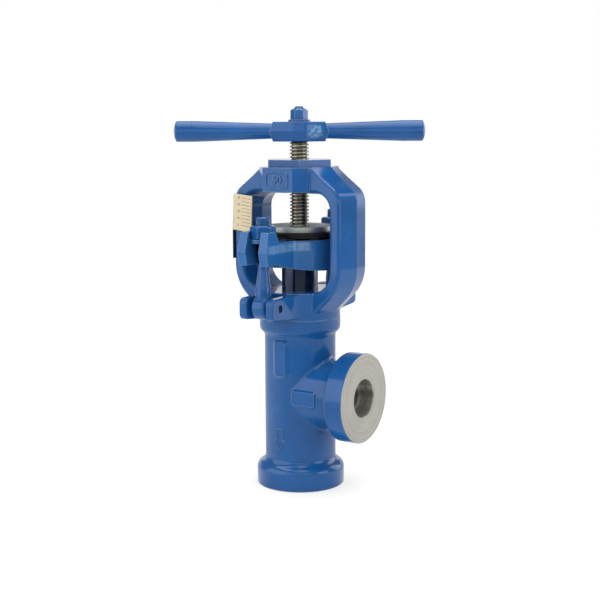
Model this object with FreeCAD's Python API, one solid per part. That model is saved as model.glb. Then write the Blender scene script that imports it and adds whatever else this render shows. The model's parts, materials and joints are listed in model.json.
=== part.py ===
import FreeCAD, Part
import math
import os

V = FreeCAD.Vector
Z_AXIS = V(0, 0, 1)

# The valve stands on its outlet face: +Z is the stem axis, +X the inlet, -Y the front of the yoke.

# Running and assembly clearances, per side
RUN_FIT = 0.05          # a shaft or piston in its guide
SEAT_FIT = 0.03         # a piece that sits still in its bore
FREE = 0.35             # moving pieces that pass each other without guiding

# Valve body
PIPE_BORE_R = 27.25     # inside of a 60.3 x 2.9 pipe
BARREL_R = 52.6
OUTLET_COLLAR_R = 65.0
OUTLET_COLLAR_H = 24.0
OUTLET_SHOULDER_H = 20.0
TOP_COLLAR_R = 59.8
TOP_COLLAR_H = 13.5
TOP_SHOULDER_H = 15.5
BODY_TOP = 252.0
NECK_R = 46.0           # threaded neck that carries the yoke
NECK_H = 34.0
STACK_BORE_R = 36.0     # bore that holds seat, nozzle and stuffing box
SEAT_SHOULDER_Z = 96.0
MOUTH_CHAMFER = 1.5

# Inlet branch
INLET_Z = 139.0
INLET_FACE_X = 110.0
BRANCH_R = 51.0
INLET_FLANGE_R = 65.5
INLET_EDGE = 1.0
INLET_FLANGE_W = 26.0
INLET_SHOULDER_W = 10.0
INLET_COUNTERBORE = 11.0
INLET_STEP_R = 25.5
INLET_STEP_DEPTH = 21.5
INLET_THROAT_R = 19.5
BRANCH_BLEND_R = 6.0    # fillet where branch and barrel meet

# Marking pads, left bare, with drafted sides
PAD_DEPTH = 10.0        # from a pad's face into the metal behind it
PAD_CORNER_R = 4.0
FRONT_PAD_FACE = BARREL_R + 2.9
FRONT_PAD_W = 17.8
FRONT_PAD_H = 50.4
FRONT_PAD_X = 0.3
FRONT_PAD_Z = BODY_TOP - 57.3
FRONT_PAD_DRAFT = 1.15  # share of the depth
BRANCH_PAD_FACE = BRANCH_R + 3.0
BRANCH_PAD_W = 38.5
BRANCH_PAD_H = 20.2
BRANCH_PAD_X = 38.7
BRANCH_PAD_Z = INLET_Z + 0.3
BRANCH_PAD_DRAFT = 0.6

# Seat and radial stage nozzle
GASKET_H = 2.0
GASKET_INSET = 1.0
SEAT_BUSH_H = 14.0
THROAT_R = 13.0
SEAT_LAND = 2.0
SEAT_GAP = 0.3          # left between the closed cones
DIFFUSER_R = 22.0
DIFFUSER_H = 7.0
NOZZLE_H = 60.0
NOZZLE_WALLS = (3.9, 4.6, 5.4)
NOZZLE_HOLE_R = (2.4, 2.7, 3.1)
NOZZLE_ROWS = 4
NOZZLE_HOLES = 6
NOZZLE_LAND = 5.0       # plain ends of each sleeve
NOZZLE_GROOVE = 1.2     # depth of the chamber turned on each sleeve

# Plug and stem
PLUG_R = 15.0
PLUG_TIP_R = 12.0
PLUG_RINGS = 3          # oil grooves in the plug
PLUG_RING_PITCH = 6.0
PLUG_RING_W = 1.5
PLUG_RING_DEPTH = 0.6
PLUG_RING_DROP = 30.0   # lowest groove below the top
PLUG_TOP_GAP = 4.0      # plug's top edge below the top of the nozzle
PLUG_POCKET_R = 11.6
PLUG_POCKET_H = 30.0
THRUST_PAD_H = 2.0
STEM_R = 14.0
STEM_FOOT_R = 11.2
STEM_FOOT_H = 8.0
STEM_NECK_R = 7.5
LIFT = 40.0

# Stuffing box
PACKING_R = 26.6
PACKING_RINGS = 4
PACKING_RING_H = 10.5
PACKING_BASE_H = 4.0
INSERT_FLOOR_H = 8.0
SEAL_GROOVE_DEPTH = 2.5
SEAL_RING_H = 4.0
SEAL_RING_DROP = (16.0, 28.0)   # below the packing floor

# Yoke
YOKE_TURN_DEG = 0.0     # yoke and all it carries, turned on the body's neck away from the inlet's line
YOKE_TOP = BODY_TOP + 219.5
YOKE_DEPTH = 38.0       # half the depth of the arms
YOKE_EDGE_R = 5.0
ARM_OUT_FACE = 90.3     # outside of an arm at its front and rear faces
ARM_OUT_RIDGE = ARM_OUT_FACE + 7.5      # outside of an arm on the forging's parting plane
ARM_LOW_Z = BODY_TOP + 76.0
ARM_HIGH_Z = YOKE_TOP - 51.5
ARM_LOW_BEND_R = 60.0
ARM_LOW_BEND_DEG = 45.0
ARM_TOP_BEND_R = 28.0
ARM_TOP_BEND_DEG = 53.0
TOP_HALF_FACE = 42.0
TOP_HALF_RIDGE = TOP_HALF_FACE + 12.5
NOTCH_ROUND = 8.0
NOTCH_OUT = 18.0
WINDOW_FACE = ARM_OUT_FACE - 15.8
WINDOW_RIDGE = WINDOW_FACE - 8.5
WINDOW_TOP_FACE = YOKE_TOP - 35.5
WINDOW_TOP_RIDGE = WINDOW_TOP_FACE - 4.0
WINDOW_TOP_FACE_R = 25.0
WINDOW_TOP_RIDGE_R = 20.0
WINDOW_LOW_R = 33.0
HUB_LOW_Z = YOKE_TOP - 35.0
HUB_FRONT = 58.0
HUB_FLAT = 25.3
BASE_R = TOP_COLLAR_R - 0.3
BASE_TOP = BODY_TOP + 40.0
BASE_WEB_H = 6.0

# Hinge ears and swing bolts
BOLT_Y = 94.0
PIN_Z = BODY_TOP + 23.5
PIN_R = 6.0
EAR_IN = 16.25
EAR_OUT = EAR_IN + 12.75
EAR_END = BOLT_Y + 20.0
EAR_LOW_Z = PIN_Z - 16.5
EAR_HIGH_Z = PIN_Z + 14.5
EAR_CORNER_R = 8.0
EAR_ROOT_R = 24.0
EAR_EDGE_R = 2.5
PIN_RECESS = 3.0
EYE_R = 17.0
EYE_W = 23.6
EYE_ROUND = 5.2
BOLT_R = 10.0
SHANK_R = 7.6
THREAD_RELIEF = 2.0

# Gland
GLAND_TOP = BODY_TOP + 116.0
GLAND_LOW_Z = GLAND_TOP - 45.0
GLAND_PART_Z = GLAND_TOP - 12.0         # parting plane of the forging
GLAND_RING_R = 57.0
GLAND_DRAFT = 3.0
LUG_HALF = 24.8
LUG_SIDE_SHARE = 0.6    # draft of a lug's sides, as a share of the ring's
LUG_ROOT_R = 16.0
LUG_END = BOLT_Y + 28.5
LUG_END_DRAFT = 8.0
LUG_LOW_Z = GLAND_TOP - 31.0
ARCH_END_Y = 92.0
HORN_TOP = GLAND_TOP + 16.0
HORN_BACK = BOLT_Y + 3.0
HORN_SLOPE = 8.0
SLOT_HALF = BOLT_R + 1.3
GLAND_WELL_R = 34.0
GLAND_WELL_DEPTH = 12.0
GLAND_STEP_Z = GLAND_TOP - 28.0
GLAND_STEM_GAP = 2.5
WASHER_R = 19.0
WASHER_H = 5.0
WASHER_GAP = 0.5
POCKET_GAP = 1.0
NUT_AF = 32.0
NUT_H = 19.0
NUT_CHAMFER = 2.0
NUT_TURN_DEG = 38.0
HEX_CHAMFER_SLOPE = 1.7 # radial share of a nut's chamfer
BOLT_TOP = GLAND_TOP + 36.0
SHANK_NECK_Z = LUG_LOW_Z
THREAD_LOW_Z = LUG_LOW_Z + 9.0

# Thread bush
BUSH_AF = 90.0
BUSH_FLANGE_H = 10.5
BUSH_R = 22.0
BUSH_TURN_DEG = 3.6
BUSH_CHAMFER = 0.8

# Travel indicator
DISC_R = 49.0
DISC_T = 6.0
DISC_TOP = GLAND_TOP + 18.0
DISC_EDGE = 0.6
COLLAR_R = 21.0
COLLAR_H = 9.5
COLLAR_PLATE_R = 59.0
COLLAR_PLATE_T = 4.0
SCALE_LEG_T = 2.0
SCALE_LEG_W = 32.0
SCALE_BEND_OUT = 2.5    # bend of the bracket beyond the arm's front corner
SCALE_LOW_Z = DISC_TOP - 8.0
SCALE_HIGH_Z = SCALE_LOW_Z + LIFT + 13.0
SCALE_LEG_LOW_Z = SCALE_LOW_Z - 42.0
SCALE_LEG_HIGH_Z = SCALE_LOW_Z + 12.0
SCALE_WING_INSET = 4.0
SCALE_INSET = 2.2       # from the bend to the plate
SCALE_OVERLAP = 2.0     # plate beyond the wing's edges
SCALE_W = 42.5
SCALE_T = 1.0
SCALE_TURN_DEG = 15.0   # plate's turn in plan, its free edge forward
SCALE_TILT_DEG = 3.5
SCALE_SCREW_Z = (SCALE_LEG_LOW_Z + 10.0, SCALE_LEG_LOW_Z + 30.0)

# Handle
HANDLE_DEG = 31.6 + YOKE_TURN_DEG
HANDLE_HALF = 182.5
HANDLE_LOW = YOKE_TOP + BUSH_FLANGE_H + 25.5
HANDLE_Z = HANDLE_LOW + 15.0
HANDLE_TOP = HANDLE_LOW + 28.5
GRIP_FLARE_SHARE = 0.82 # where the flare ends, as a share of the half length
GRIP_END_R = 15.0
GRIP_ROOT_R = 11.2
GRIP_DOME = 4.0
GRIP_EDGE_R = 2.5
HANDLE_HUB_HALF = 43.0
HANDLE_HUB_FLAT = 8.3
HANDLE_HUB_DEPTH = 23.0
HANDLE_HUB_END = 12.0
HANDLE_HUB_DRAFT = 5.0
HANDLE_HUB_EDGE_R = 2.0
HANDLE_SIDE_SHARE = 0.5  # draft of the hub's sides, as a share of its ends
DRIVE_AF = 20.0
TOP_STUD_R = 7.0
STEM_TOP = HANDLE_TOP + 22.0
TOP_WASHER_R = 16.0
TOP_WASHER_H = 3.0
TOP_NUT_AF = 22.0
TOP_NUT_H = 15.8
TOP_NUT_CHAMFER = 2.6
TOP_WASHER_GAP = 0.3
DRIVE_GAP = 1.0         # square drive ends below the washer
TOP_STUD_CHAMFER = 1.5

# Small screws
GRUB_R = 4.0
GRUB_LEN = 12.0
GRUB_SOCKET_R = 2.0
SET_SCREW_R = 2.5
YOKE_SCREW_DEG = 130.0
SCALE_SCREW_R = 2.5
SCALE_SCREW_HEAD_R = 4.5
SCALE_SCREW_HEAD_H = 3.0
SCALE_SCREW_LEN = 12.0

# Heights that follow from the stack inside the body
SEAT_LOW = SEAT_SHOULDER_Z + GASKET_H
NOZZLE_LOW = SEAT_LOW + SEAT_BUSH_H
NOZZLE_TOP = NOZZLE_LOW + NOZZLE_H
PLUG_BORE_R = PLUG_R + RUN_FIT
SEAT_CONE_TOP = NOZZLE_LOW - SEAT_LAND
SEAT_CONE_LOW = SEAT_CONE_TOP - (PLUG_BORE_R - THROAT_R)
CONE_SHIFT = SEAT_GAP * math.sqrt(2.0)
PLUG_SHOULDER_Z = SEAT_CONE_LOW + (PLUG_R - THROAT_R) + CONE_SHIFT
PLUG_LOW = PLUG_SHOULDER_Z - (PLUG_R - PLUG_TIP_R)
PLUG_TOP = NOZZLE_TOP - PLUG_TOP_GAP
PACKING_FLOOR = PLUG_TOP + LIFT + PLUG_TOP_GAP + INSERT_FLOOR_H
PACKING_LOW = PACKING_FLOOR + PACKING_BASE_H
PACKING_TOP = PACKING_LOW + PACKING_RINGS * PACKING_RING_H
NECK_TOP = BODY_TOP + NECK_H
STEM_PASS_R = STEM_R + FREE
NUT_LOW = GLAND_TOP + WASHER_H
BUSH_TOP = YOKE_TOP + BUSH_FLANGE_H


def box(x0, x1, y0, y1, z0, z1):
    return Part.makeBox(x1 - x0, y1 - y0, z1 - z0, V(x0, y0, z0))


def rod(r, z0, z1, x=0.0, y=0.0):
    return Part.makeCylinder(r, z1 - z0, V(x, y, z0), Z_AXIS)


def tube(r_out, r_in, z0, z1):
    return rod(r_out, z0, z1).cut(rod(r_in, z0 - 1, z1 + 1))


def rod_to(r, start, end):
    return Part.makeCylinder(r, (end - start).Length, start, end - start)


def on_circle(cu, cv, r, deg):
    return (cu + r * math.cos(math.radians(deg)), cv + r * math.sin(math.radians(deg)))


def outline(start, steps, place):
    """A closed wire. A step is a point for a line, or a (mid, end) pair for an arc."""
    edges = []
    here = start
    for step in steps:
        if isinstance(step[0], tuple):
            mid, end = step
            edges.append(Part.Arc(place(*here), place(*mid), place(*end)).toShape())
        else:
            end = step
            edges.append(Part.LineSegment(place(*here), place(*end)).toShape())
        here = end
    if math.dist(here, start) > 1e-6:
        edges.append(Part.LineSegment(place(*here), place(*start)).toShape())
    return Part.Wire(edges)


def in_xz(y):
    return lambda u, v: V(u, y, v)


def in_yz(x):
    return lambda u, v: V(x, u, v)


def in_xy(z):
    return lambda u, v: V(u, v, z)


def revolve(start, steps):
    face = Part.Face(outline(start, steps, in_xz(0.0)))
    return face.revolve(V(0, 0, 0), Z_AXIS, 360)


def prism(start, steps, z0, z1):
    return Part.Face(outline(start, steps, in_xy(z0))).extrude(V(0, 0, z1 - z0))


def shoulder(r0, z0, r1, z1):
    """Two equal tangent arcs that lead from one cylinder to another."""
    half_r, half_z = (r1 - r0) / 2, (z1 - z0) / 2
    sweep = 2 * math.atan2(abs(half_r), abs(half_z))
    radius = abs(half_z) / math.sin(sweep)
    side = 1 if half_r > 0 else -1
    up = 1 if half_z > 0 else -1
    bulge_r = side * radius * (1 - math.cos(sweep / 2))
    bulge_z = up * radius * math.sin(sweep / 2)
    middle = (r0 + half_r, z0 + half_z)
    first = (r0 + bulge_r, z0 + bulge_z)
    second = (r1 - bulge_r, z1 - bulge_z)
    return [(first, middle), (second, (r1, z1))]


def root_fillet(ring_r, half, fillet_r):
    """Fillet between a lug's side and a ring: where the side ends, the middle, the point on the ring."""
    centre_y = math.sqrt((ring_r + fillet_r) ** 2 - (half + fillet_r) ** 2)
    centre = (half + fillet_r, centre_y)
    share = ring_r / (ring_r + fillet_r)
    touch = (centre[0] * share, centre[1] * share)
    towards = math.degrees(math.atan2(-centre_y, -centre[0])) % 360
    return (half, centre_y), on_circle(centre[0], centre[1], fillet_r, (towards + 180) / 2), touch


def hexagon(af, z0, z1, turn=0.0, x=0.0, y=0.0):
    corners = [on_circle(x, y, af / math.sqrt(3.0), turn + 60 * k) for k in range(6)]
    return prism(corners[0], corners[1:], z0, z1)


def turn_to_x(shape):
    """Lay a shape that was built about +Z along +X."""
    shape.rotate(V(0, 0, 0), V(0, 1, 0), 90)
    return shape


def mirrored(shape, normal):
    return shape.mirror(V(0, 0, 0), normal)


def chamfered_hex(af, z0, z1, chamfer, turn, x=0.0, y=0.0, both=True):
    """A hexagon whose corners are turned off at the top, and below where both is true."""
    corner = af / math.sqrt(3.0)
    low = (corner - chamfer * HEX_CHAMFER_SLOPE, z0) if both else (corner, z0)
    steps = [low, (corner, z0 + chamfer if both else z0 + chamfer / 2)]
    steps += [(corner, z1 - chamfer), (corner - chamfer * HEX_CHAMFER_SLOPE, z1), (0.0, z1)]
    limit = revolve((0.0, z0), steps)
    limit.translate(V(x, y, 0))
    return hexagon(af, z0, z1, turn, x, y).common(limit)


def grub_screw(start, end):
    """A socket set screw whose socket opens at the start."""
    way = (end - start).normalize()
    socket = Part.makeCylinder(GRUB_SOCKET_R, GRUB_LEN / 3, start, way)
    return rod_to(GRUB_R, start, end).cut(socket)


def branch_outline():
    flange_back = INLET_FACE_X - INLET_FLANGE_W
    steps = [(BRANCH_R, 0.0), (BRANCH_R, flange_back - INLET_SHOULDER_W)]
    steps += shoulder(BRANCH_R, flange_back - INLET_SHOULDER_W, INLET_FLANGE_R, flange_back)
    steps += [(INLET_FLANGE_R, INLET_FACE_X - INLET_EDGE), (INLET_FLANGE_R - INLET_EDGE, INLET_FACE_X)]
    steps += [(0.0, INLET_FACE_X)]
    return steps


def body_outline():
    collar_low = BODY_TOP - TOP_COLLAR_H
    steps = [(OUTLET_COLLAR_R - MOUTH_CHAMFER, 0.0), (OUTLET_COLLAR_R, MOUTH_CHAMFER)]
    steps += [(OUTLET_COLLAR_R, OUTLET_COLLAR_H)]
    steps += shoulder(OUTLET_COLLAR_R, OUTLET_COLLAR_H, BARREL_R, OUTLET_COLLAR_H + OUTLET_SHOULDER_H)
    steps += [(BARREL_R, collar_low - TOP_SHOULDER_H)]
    steps += shoulder(BARREL_R, collar_low - TOP_SHOULDER_H, TOP_COLLAR_R, collar_low)
    steps += [(TOP_COLLAR_R, BODY_TOP), (NECK_R, BODY_TOP), (NECK_R, NECK_TOP), (0.0, NECK_TOP)]
    return steps


def mouth(r, depth, step=()):
    """Cutter for a bore that opens at z = 0, with a chamfered mouth and perhaps a step at its floor."""
    steps = [(r + MOUTH_CHAMFER, 0.0), (r, MOUTH_CHAMFER), (r, depth), *step]
    return revolve((0.0, -1.0), [(r + MOUTH_CHAMFER, -1.0)] + steps + [(0.0, steps[-1][1])])


def marking_pad(face, x, z, w, h, draft):
    """A pad with rounded corners whose sides widen from its face, at -Y, into the metal behind it."""
    def pad_outline(y, widen):
        half_w, half_h, r = w / 2 + widen, h / 2 + widen, PAD_CORNER_R + widen
        in_w, in_h = half_w - r, half_h - r
        steps = []
        for su, sv, deg in ((1, -1, 315), (1, 1, 45), (-1, 1, 135), (-1, -1, 225)):
            ends = [(su * half_w, sv * in_h), (su * in_w, sv * half_h)]
            first, last = ends if su * sv > 0 else ends[::-1]
            steps += [first, (on_circle(su * in_w, sv * in_h, r, deg), last)]
        steps = [tuple((x + q[0], z + q[1]) for q in step) if isinstance(step[0], tuple)
                 else (x + step[0], z + step[1]) for step in steps]
        return outline(steps[0], steps[1:], in_xz(y))

    ends = [pad_outline(-face, 0.0), pad_outline(PAD_DEPTH - face, PAD_DEPTH * draft)]
    return Part.makeLoft(ends, True, True)


def valve_body():
    body = revolve((0.0, 0.0), body_outline())
    branch = turn_to_x(revolve((0.0, 0.0), branch_outline()))
    branch.translate(V(0, 0, INLET_Z))
    body = body.fuse(branch).removeSplitter()
    crease = [e for e in body.Edges if e.Curve.TypeId not in ("Part::GeomCircle", "Part::GeomLine")]
    body = body.makeFillet(BRANCH_BLEND_R, crease)
    front_pad = marking_pad(FRONT_PAD_FACE, FRONT_PAD_X, FRONT_PAD_Z, FRONT_PAD_W, FRONT_PAD_H,
                            FRONT_PAD_DRAFT)
    branch_pad = marking_pad(BRANCH_PAD_FACE, BRANCH_PAD_X, BRANCH_PAD_Z, BRANCH_PAD_W, BRANCH_PAD_H,
                             BRANCH_PAD_DRAFT)
    body = body.fuse([front_pad, branch_pad])
    step = [(INLET_STEP_R, INLET_COUNTERBORE), (INLET_STEP_R, INLET_STEP_DEPTH)]
    counterbore = turn_to_x(mouth(PIPE_BORE_R, INLET_COUNTERBORE, step))
    counterbore.rotate(V(0, 0, 0), Z_AXIS, 180)
    counterbore.translate(V(INLET_FACE_X, 0, INLET_Z))
    throat = rod_to(INLET_THROAT_R, V(0, 0, INLET_Z), V(INLET_FACE_X, 0, INLET_Z))
    stack = rod(STACK_BORE_R, SEAT_SHOULDER_Z, NECK_TOP + 1)
    return body.cut([mouth(PIPE_BORE_R, SEAT_SHOULDER_Z + 1), counterbore, throat, stack])


def seat_gasket():
    return tube(STACK_BORE_R - SEAT_FIT, PIPE_BORE_R + GASKET_INSET, SEAT_SHOULDER_Z, SEAT_LOW)


def seat_bush():
    r_out = STACK_BORE_R - SEAT_FIT
    steps = [(r_out, SEAT_LOW), (r_out, NOZZLE_LOW), (PLUG_BORE_R, NOZZLE_LOW)]
    steps += [(PLUG_BORE_R, SEAT_CONE_TOP), (THROAT_R, SEAT_CONE_LOW)]
    steps += [(THROAT_R, SEAT_LOW + DIFFUSER_H)]
    return revolve((DIFFUSER_R, SEAT_LOW), steps)


def nozzle_radii():
    """Inner and outer radius of each sleeve, from the plug outwards."""
    radii = []
    r_in = PLUG_BORE_R
    for wall in NOZZLE_WALLS:
        radii.append((r_in, r_in + wall))
        r_in += wall + SEAT_FIT
    return radii


def nozzle_sleeve(index):
    """One drilled sleeve. Its holes and those of the next sleeve are staggered half a step."""
    r_in, r_out = nozzle_radii()[index]
    low, high = NOZZLE_LOW + NOZZLE_LAND, NOZZLE_TOP - NOZZLE_LAND
    steps = [(r_out, NOZZLE_LOW), (r_out, low), (r_out - NOZZLE_GROOVE, low)]
    steps += [(r_out - NOZZLE_GROOVE, high), (r_out, high), (r_out, NOZZLE_TOP), (r_in, NOZZLE_TOP)]
    sleeve = revolve((r_in, NOZZLE_LOW), steps)
    pitch = (high - low) / NOZZLE_ROWS
    drills = []
    for row in range(NOZZLE_ROWS):
        z = low + pitch * (row + 0.5)
        for hole in range(NOZZLE_HOLES):
            deg = 360.0 / NOZZLE_HOLES * (hole + 0.5 * ((row + index) % 2))
            end = on_circle(0.0, 0.0, r_out + 1, deg)
            drills.append(rod_to(NOZZLE_HOLE_R[index], V(0, 0, z), V(end[0], end[1], z)))
    return sleeve.cut(drills)


def stuffing_box_insert():
    r_out = STACK_BORE_R - SEAT_FIT
    chamber_r = PACKING_R + RUN_FIT
    chamber_top = PACKING_FLOOR - INSERT_FLOOR_H
    steps = [(r_out, NOZZLE_TOP)]
    for drop in sorted(SEAL_RING_DROP, reverse=True):
        z = PACKING_FLOOR - drop
        steps += [(r_out, z), (r_out - SEAL_GROOVE_DEPTH, z)]
        steps += [(r_out - SEAL_GROOVE_DEPTH, z + SEAL_RING_H), (r_out, z + SEAL_RING_H)]
    steps += [(r_out, NECK_TOP), (chamber_r, NECK_TOP), (chamber_r, PACKING_FLOOR)]
    steps += [(STEM_PASS_R, PACKING_FLOOR), (STEM_PASS_R, chamber_top), (PLUG_BORE_R, chamber_top)]
    return revolve((PLUG_BORE_R, NOZZLE_TOP), steps)


def body_seal_rings():
    r_in = STACK_BORE_R - SEAT_FIT - SEAL_GROOVE_DEPTH
    floors = [PACKING_FLOOR - drop for drop in SEAL_RING_DROP]
    return Part.makeCompound([tube(STACK_BORE_R, r_in, z, z + SEAL_RING_H) for z in floors])


def packing_base_ring():
    return tube(PACKING_R, STEM_PASS_R, PACKING_FLOOR, PACKING_LOW)


def packing_rings():
    floors = [PACKING_LOW + PACKING_RING_H * k for k in range(PACKING_RINGS)]
    return Part.makeCompound([tube(PACKING_R, STEM_PASS_R, z, z + PACKING_RING_H) for z in floors])


def plug():
    steps = [(PLUG_TIP_R, PLUG_LOW), (PLUG_R, PLUG_SHOULDER_Z)]
    for k in range(PLUG_RINGS):
        low = PLUG_TOP - PLUG_RING_DROP + PLUG_RING_PITCH * k
        high = low + PLUG_RING_W
        floor = PLUG_R - PLUG_RING_DEPTH
        steps += [(PLUG_R, low), (floor, low), (floor, high), (PLUG_R, high)]
    steps += [(PLUG_R, PLUG_TOP), (PLUG_POCKET_R, PLUG_TOP)]
    steps += [(PLUG_POCKET_R, PLUG_TOP - PLUG_POCKET_H), (0.0, PLUG_TOP - PLUG_POCKET_H)]
    return revolve((0.0, PLUG_LOW), steps)


def foot_low():
    return PLUG_TOP - PLUG_POCKET_H + THRUST_PAD_H + FREE


def plug_thrust_pad():
    floor = PLUG_TOP - PLUG_POCKET_H
    return rod(PLUG_POCKET_R - SEAT_FIT, floor, floor + THRUST_PAD_H)


def plug_retaining_ring():
    low = foot_low() + STEM_FOOT_H + FREE
    return tube(PLUG_POCKET_R - SEAT_FIT, STEM_NECK_R + FREE, low, PLUG_TOP)


def stem():
    """Foot, neck, ground shank and thread (plain here), square drive and stud."""
    shank_low = PLUG_TOP + FREE
    foot_top = foot_low() + STEM_FOOT_H
    corner = TOP_STUD_R - TOP_STUD_CHAMFER
    steps = [(STEM_FOOT_R, foot_low()), (STEM_FOOT_R, foot_top), (STEM_NECK_R, foot_top)]
    steps += [(STEM_NECK_R, shank_low), (STEM_R, shank_low), (STEM_R, HANDLE_LOW), (0.0, HANDLE_LOW)]
    shank = revolve((0.0, foot_low()), steps)
    drive = box(-DRIVE_AF / 2, DRIVE_AF / 2, -DRIVE_AF / 2, DRIVE_AF / 2, HANDLE_LOW, HANDLE_TOP - DRIVE_GAP)
    drive.rotate(V(0, 0, 0), Z_AXIS, HANDLE_DEG)
    stud = revolve((0.0, HANDLE_LOW), [(TOP_STUD_R, HANDLE_LOW), (TOP_STUD_R, STEM_TOP - TOP_STUD_CHAMFER),
                                       (corner, STEM_TOP), (0.0, STEM_TOP)])
    return shank.fuse([drive.common(rod(STEM_R, HANDLE_LOW, HANDLE_TOP)), stud])


def rounded(before, corner, after, cut):
    """The corner of two straight runs as a tangent arc that starts and ends `cut` away from it."""
    to_before = math.atan2(before[1] - corner[1], before[0] - corner[0])
    to_after = math.atan2(after[1] - corner[1], after[0] - corner[0])
    half = (to_after - to_before) / 2
    middle = to_before + half
    radius = cut * abs(math.tan(half))
    far = math.hypot(cut, radius) - radius
    if math.cos(half) < 0:
        middle += math.pi
    start = (corner[0] + cut * math.cos(to_before), corner[1] + cut * math.sin(to_before))
    end = (corner[0] + cut * math.cos(to_after), corner[1] + cut * math.sin(to_after))
    mid = (corner[0] + far * math.cos(middle), corner[1] + far * math.sin(middle))
    return [start, (mid, end)]


def yoke_section(y, arm, top):
    """Outer outline of the arms in one plane across the forging."""
    low_r = ARM_LOW_BEND_R + arm - ARM_OUT_FACE
    low_centre = arm - low_r
    foot = on_circle(low_centre, ARM_LOW_Z, low_r, -ARM_LOW_BEND_DEG)
    foot_mid = on_circle(low_centre, ARM_LOW_Z, low_r, -ARM_LOW_BEND_DEG / 2)
    base = (foot[0] - (foot[1] - BODY_TOP) * math.tan(math.radians(ARM_LOW_BEND_DEG)), BODY_TOP)
    top_centre = arm - ARM_TOP_BEND_R
    crest = on_circle(top_centre, ARM_HIGH_Z, ARM_TOP_BEND_R, ARM_TOP_BEND_DEG)
    crest_mid = on_circle(top_centre, ARM_HIGH_Z, ARM_TOP_BEND_R, ARM_TOP_BEND_DEG / 2)
    notch_u = top + NOTCH_OUT
    notch_v = crest[1] + (crest[0] - notch_u) / math.tan(math.radians(ARM_TOP_BEND_DEG))
    into, bend = rounded(crest, (notch_u, notch_v), (top, YOKE_TOP), NOTCH_ROUND)
    right = [base, foot, (foot_mid, (arm, ARM_LOW_Z)), (arm, ARM_HIGH_Z), (crest_mid, crest), into, bend,
             (top, YOKE_TOP)]
    return outline(base, right[1:] + mirrored_steps(right), in_xz(y))


def mirrored_steps(steps):
    """The same run on the other side of the axis, walked back from its end to its start."""
    ends = [step[1] if isinstance(step[0], tuple) else step for step in steps]
    back = [(-ends[-1][0], ends[-1][1])]
    for k in range(len(steps) - 1, 0, -1):
        end = (-ends[k - 1][0], ends[k - 1][1])
        mid = steps[k][0]
        back.append(((-mid[0], mid[1]), end) if isinstance(mid, tuple) else end)
    return back


def window_outline(y, half, top, top_r):
    low = BASE_TOP
    top_u, low_u = half - top_r, half - WINDOW_LOW_R
    top_v, low_v = top - top_r, low + WINDOW_LOW_R
    steps = [(on_circle(low_u, low_v, WINDOW_LOW_R, -45), (half, low_v)), (half, top_v)]
    steps += [(on_circle(top_u, top_v, top_r, 45), (top_u, top)), (-top_u, top)]
    steps += [(on_circle(-top_u, top_v, top_r, 135), (-half, top_v)), (-half, low_v)]
    steps += [(on_circle(-low_u, low_v, WINDOW_LOW_R, 225), (-low_u, low))]
    return outline((low_u, low), steps, in_xz(y))


def yoke_arms():
    """Both arms as one forging: drafted from the parting plane to the front and rear faces."""
    outer = [yoke_section(0.0, ARM_OUT_RIDGE, TOP_HALF_RIDGE),
             yoke_section(-YOKE_DEPTH, ARM_OUT_FACE, TOP_HALF_FACE)]
    window = [window_outline(0.0, WINDOW_RIDGE, WINDOW_TOP_RIDGE, WINDOW_TOP_RIDGE_R),
              window_outline(-YOKE_DEPTH, WINDOW_FACE, WINDOW_TOP_FACE, WINDOW_TOP_FACE_R)]
    half = Part.makeLoft(outer, True, True).cut(Part.makeLoft(window, True, True))
    front = [e for e in half.Edges if all(abs(v.Y + YOKE_DEPTH) < 1e-6 for v in e.Vertexes)]
    rim = [e for e in front if all(v.Z > BODY_TOP + 1 for v in e.Vertexes)]
    half = half.makeFillet(YOKE_EDGE_R, rim)
    return half.fuse(mirrored(half, V(0, 1, 0)))


def ear_pair():
    """The two front hinge ears, with fillets at the root where they leave the base ring."""
    side_end, mid, touch = root_fillet(BASE_R, EAR_OUT, EAR_ROOT_R)
    steps = [(EAR_OUT, -EAR_END), (EAR_OUT, -side_end[1]), ((mid[0], -mid[1]), (touch[0], -touch[1]))]
    steps += [(touch[0] / 2, -touch[1] / 2), (EAR_IN, -touch[1] / 2)]
    plan = prism((EAR_IN, -EAR_END), steps, BODY_TOP, BASE_TOP)
    u_end = -EAR_END + EAR_CORNER_R
    side_steps = [(u_end, EAR_LOW_Z), (on_circle(u_end, EAR_LOW_Z + EAR_CORNER_R, EAR_CORNER_R, 225),
                                       (-EAR_END, EAR_LOW_Z + EAR_CORNER_R))]
    side_steps += [(-EAR_END, EAR_HIGH_Z - EAR_CORNER_R)]
    side_steps += [(on_circle(u_end, EAR_HIGH_Z - EAR_CORNER_R, EAR_CORNER_R, 135), (u_end, EAR_HIGH_Z))]
    side_steps += [(-BASE_R / 2, BASE_TOP)]
    side = Part.Face(outline((-BASE_R / 2, BODY_TOP), side_steps, in_yz(0.0))).extrude(V(EAR_OUT * 2, 0, 0))
    ear = plan.common(side)
    rim = [e for e in ear.Edges if all(v.Y < -BASE_R - 1 for v in e.Vertexes)]
    ear = ear.makeFillet(EAR_EDGE_R, rim)
    return ear.fuse(mirrored(ear, V(1, 0, 0)))


def yoke_hub():
    slant = HUB_FRONT - (TOP_HALF_FACE - HUB_FLAT)
    quarter = [(HUB_FLAT, -HUB_FRONT), (TOP_HALF_FACE, -slant), (TOP_HALF_FACE, slant), (HUB_FLAT, HUB_FRONT)]
    steps = quarter[1:] + [(-x, y) for x, y in reversed(quarter)]
    return prism(quarter[0], steps, HUB_LOW_Z, YOKE_TOP)


def pin_holes(r, x0, x1):
    return [rod_to(r, V(x0, side * BOLT_Y, PIN_Z), V(x1, side * BOLT_Y, PIN_Z)) for side in (-1, 1)]


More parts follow.
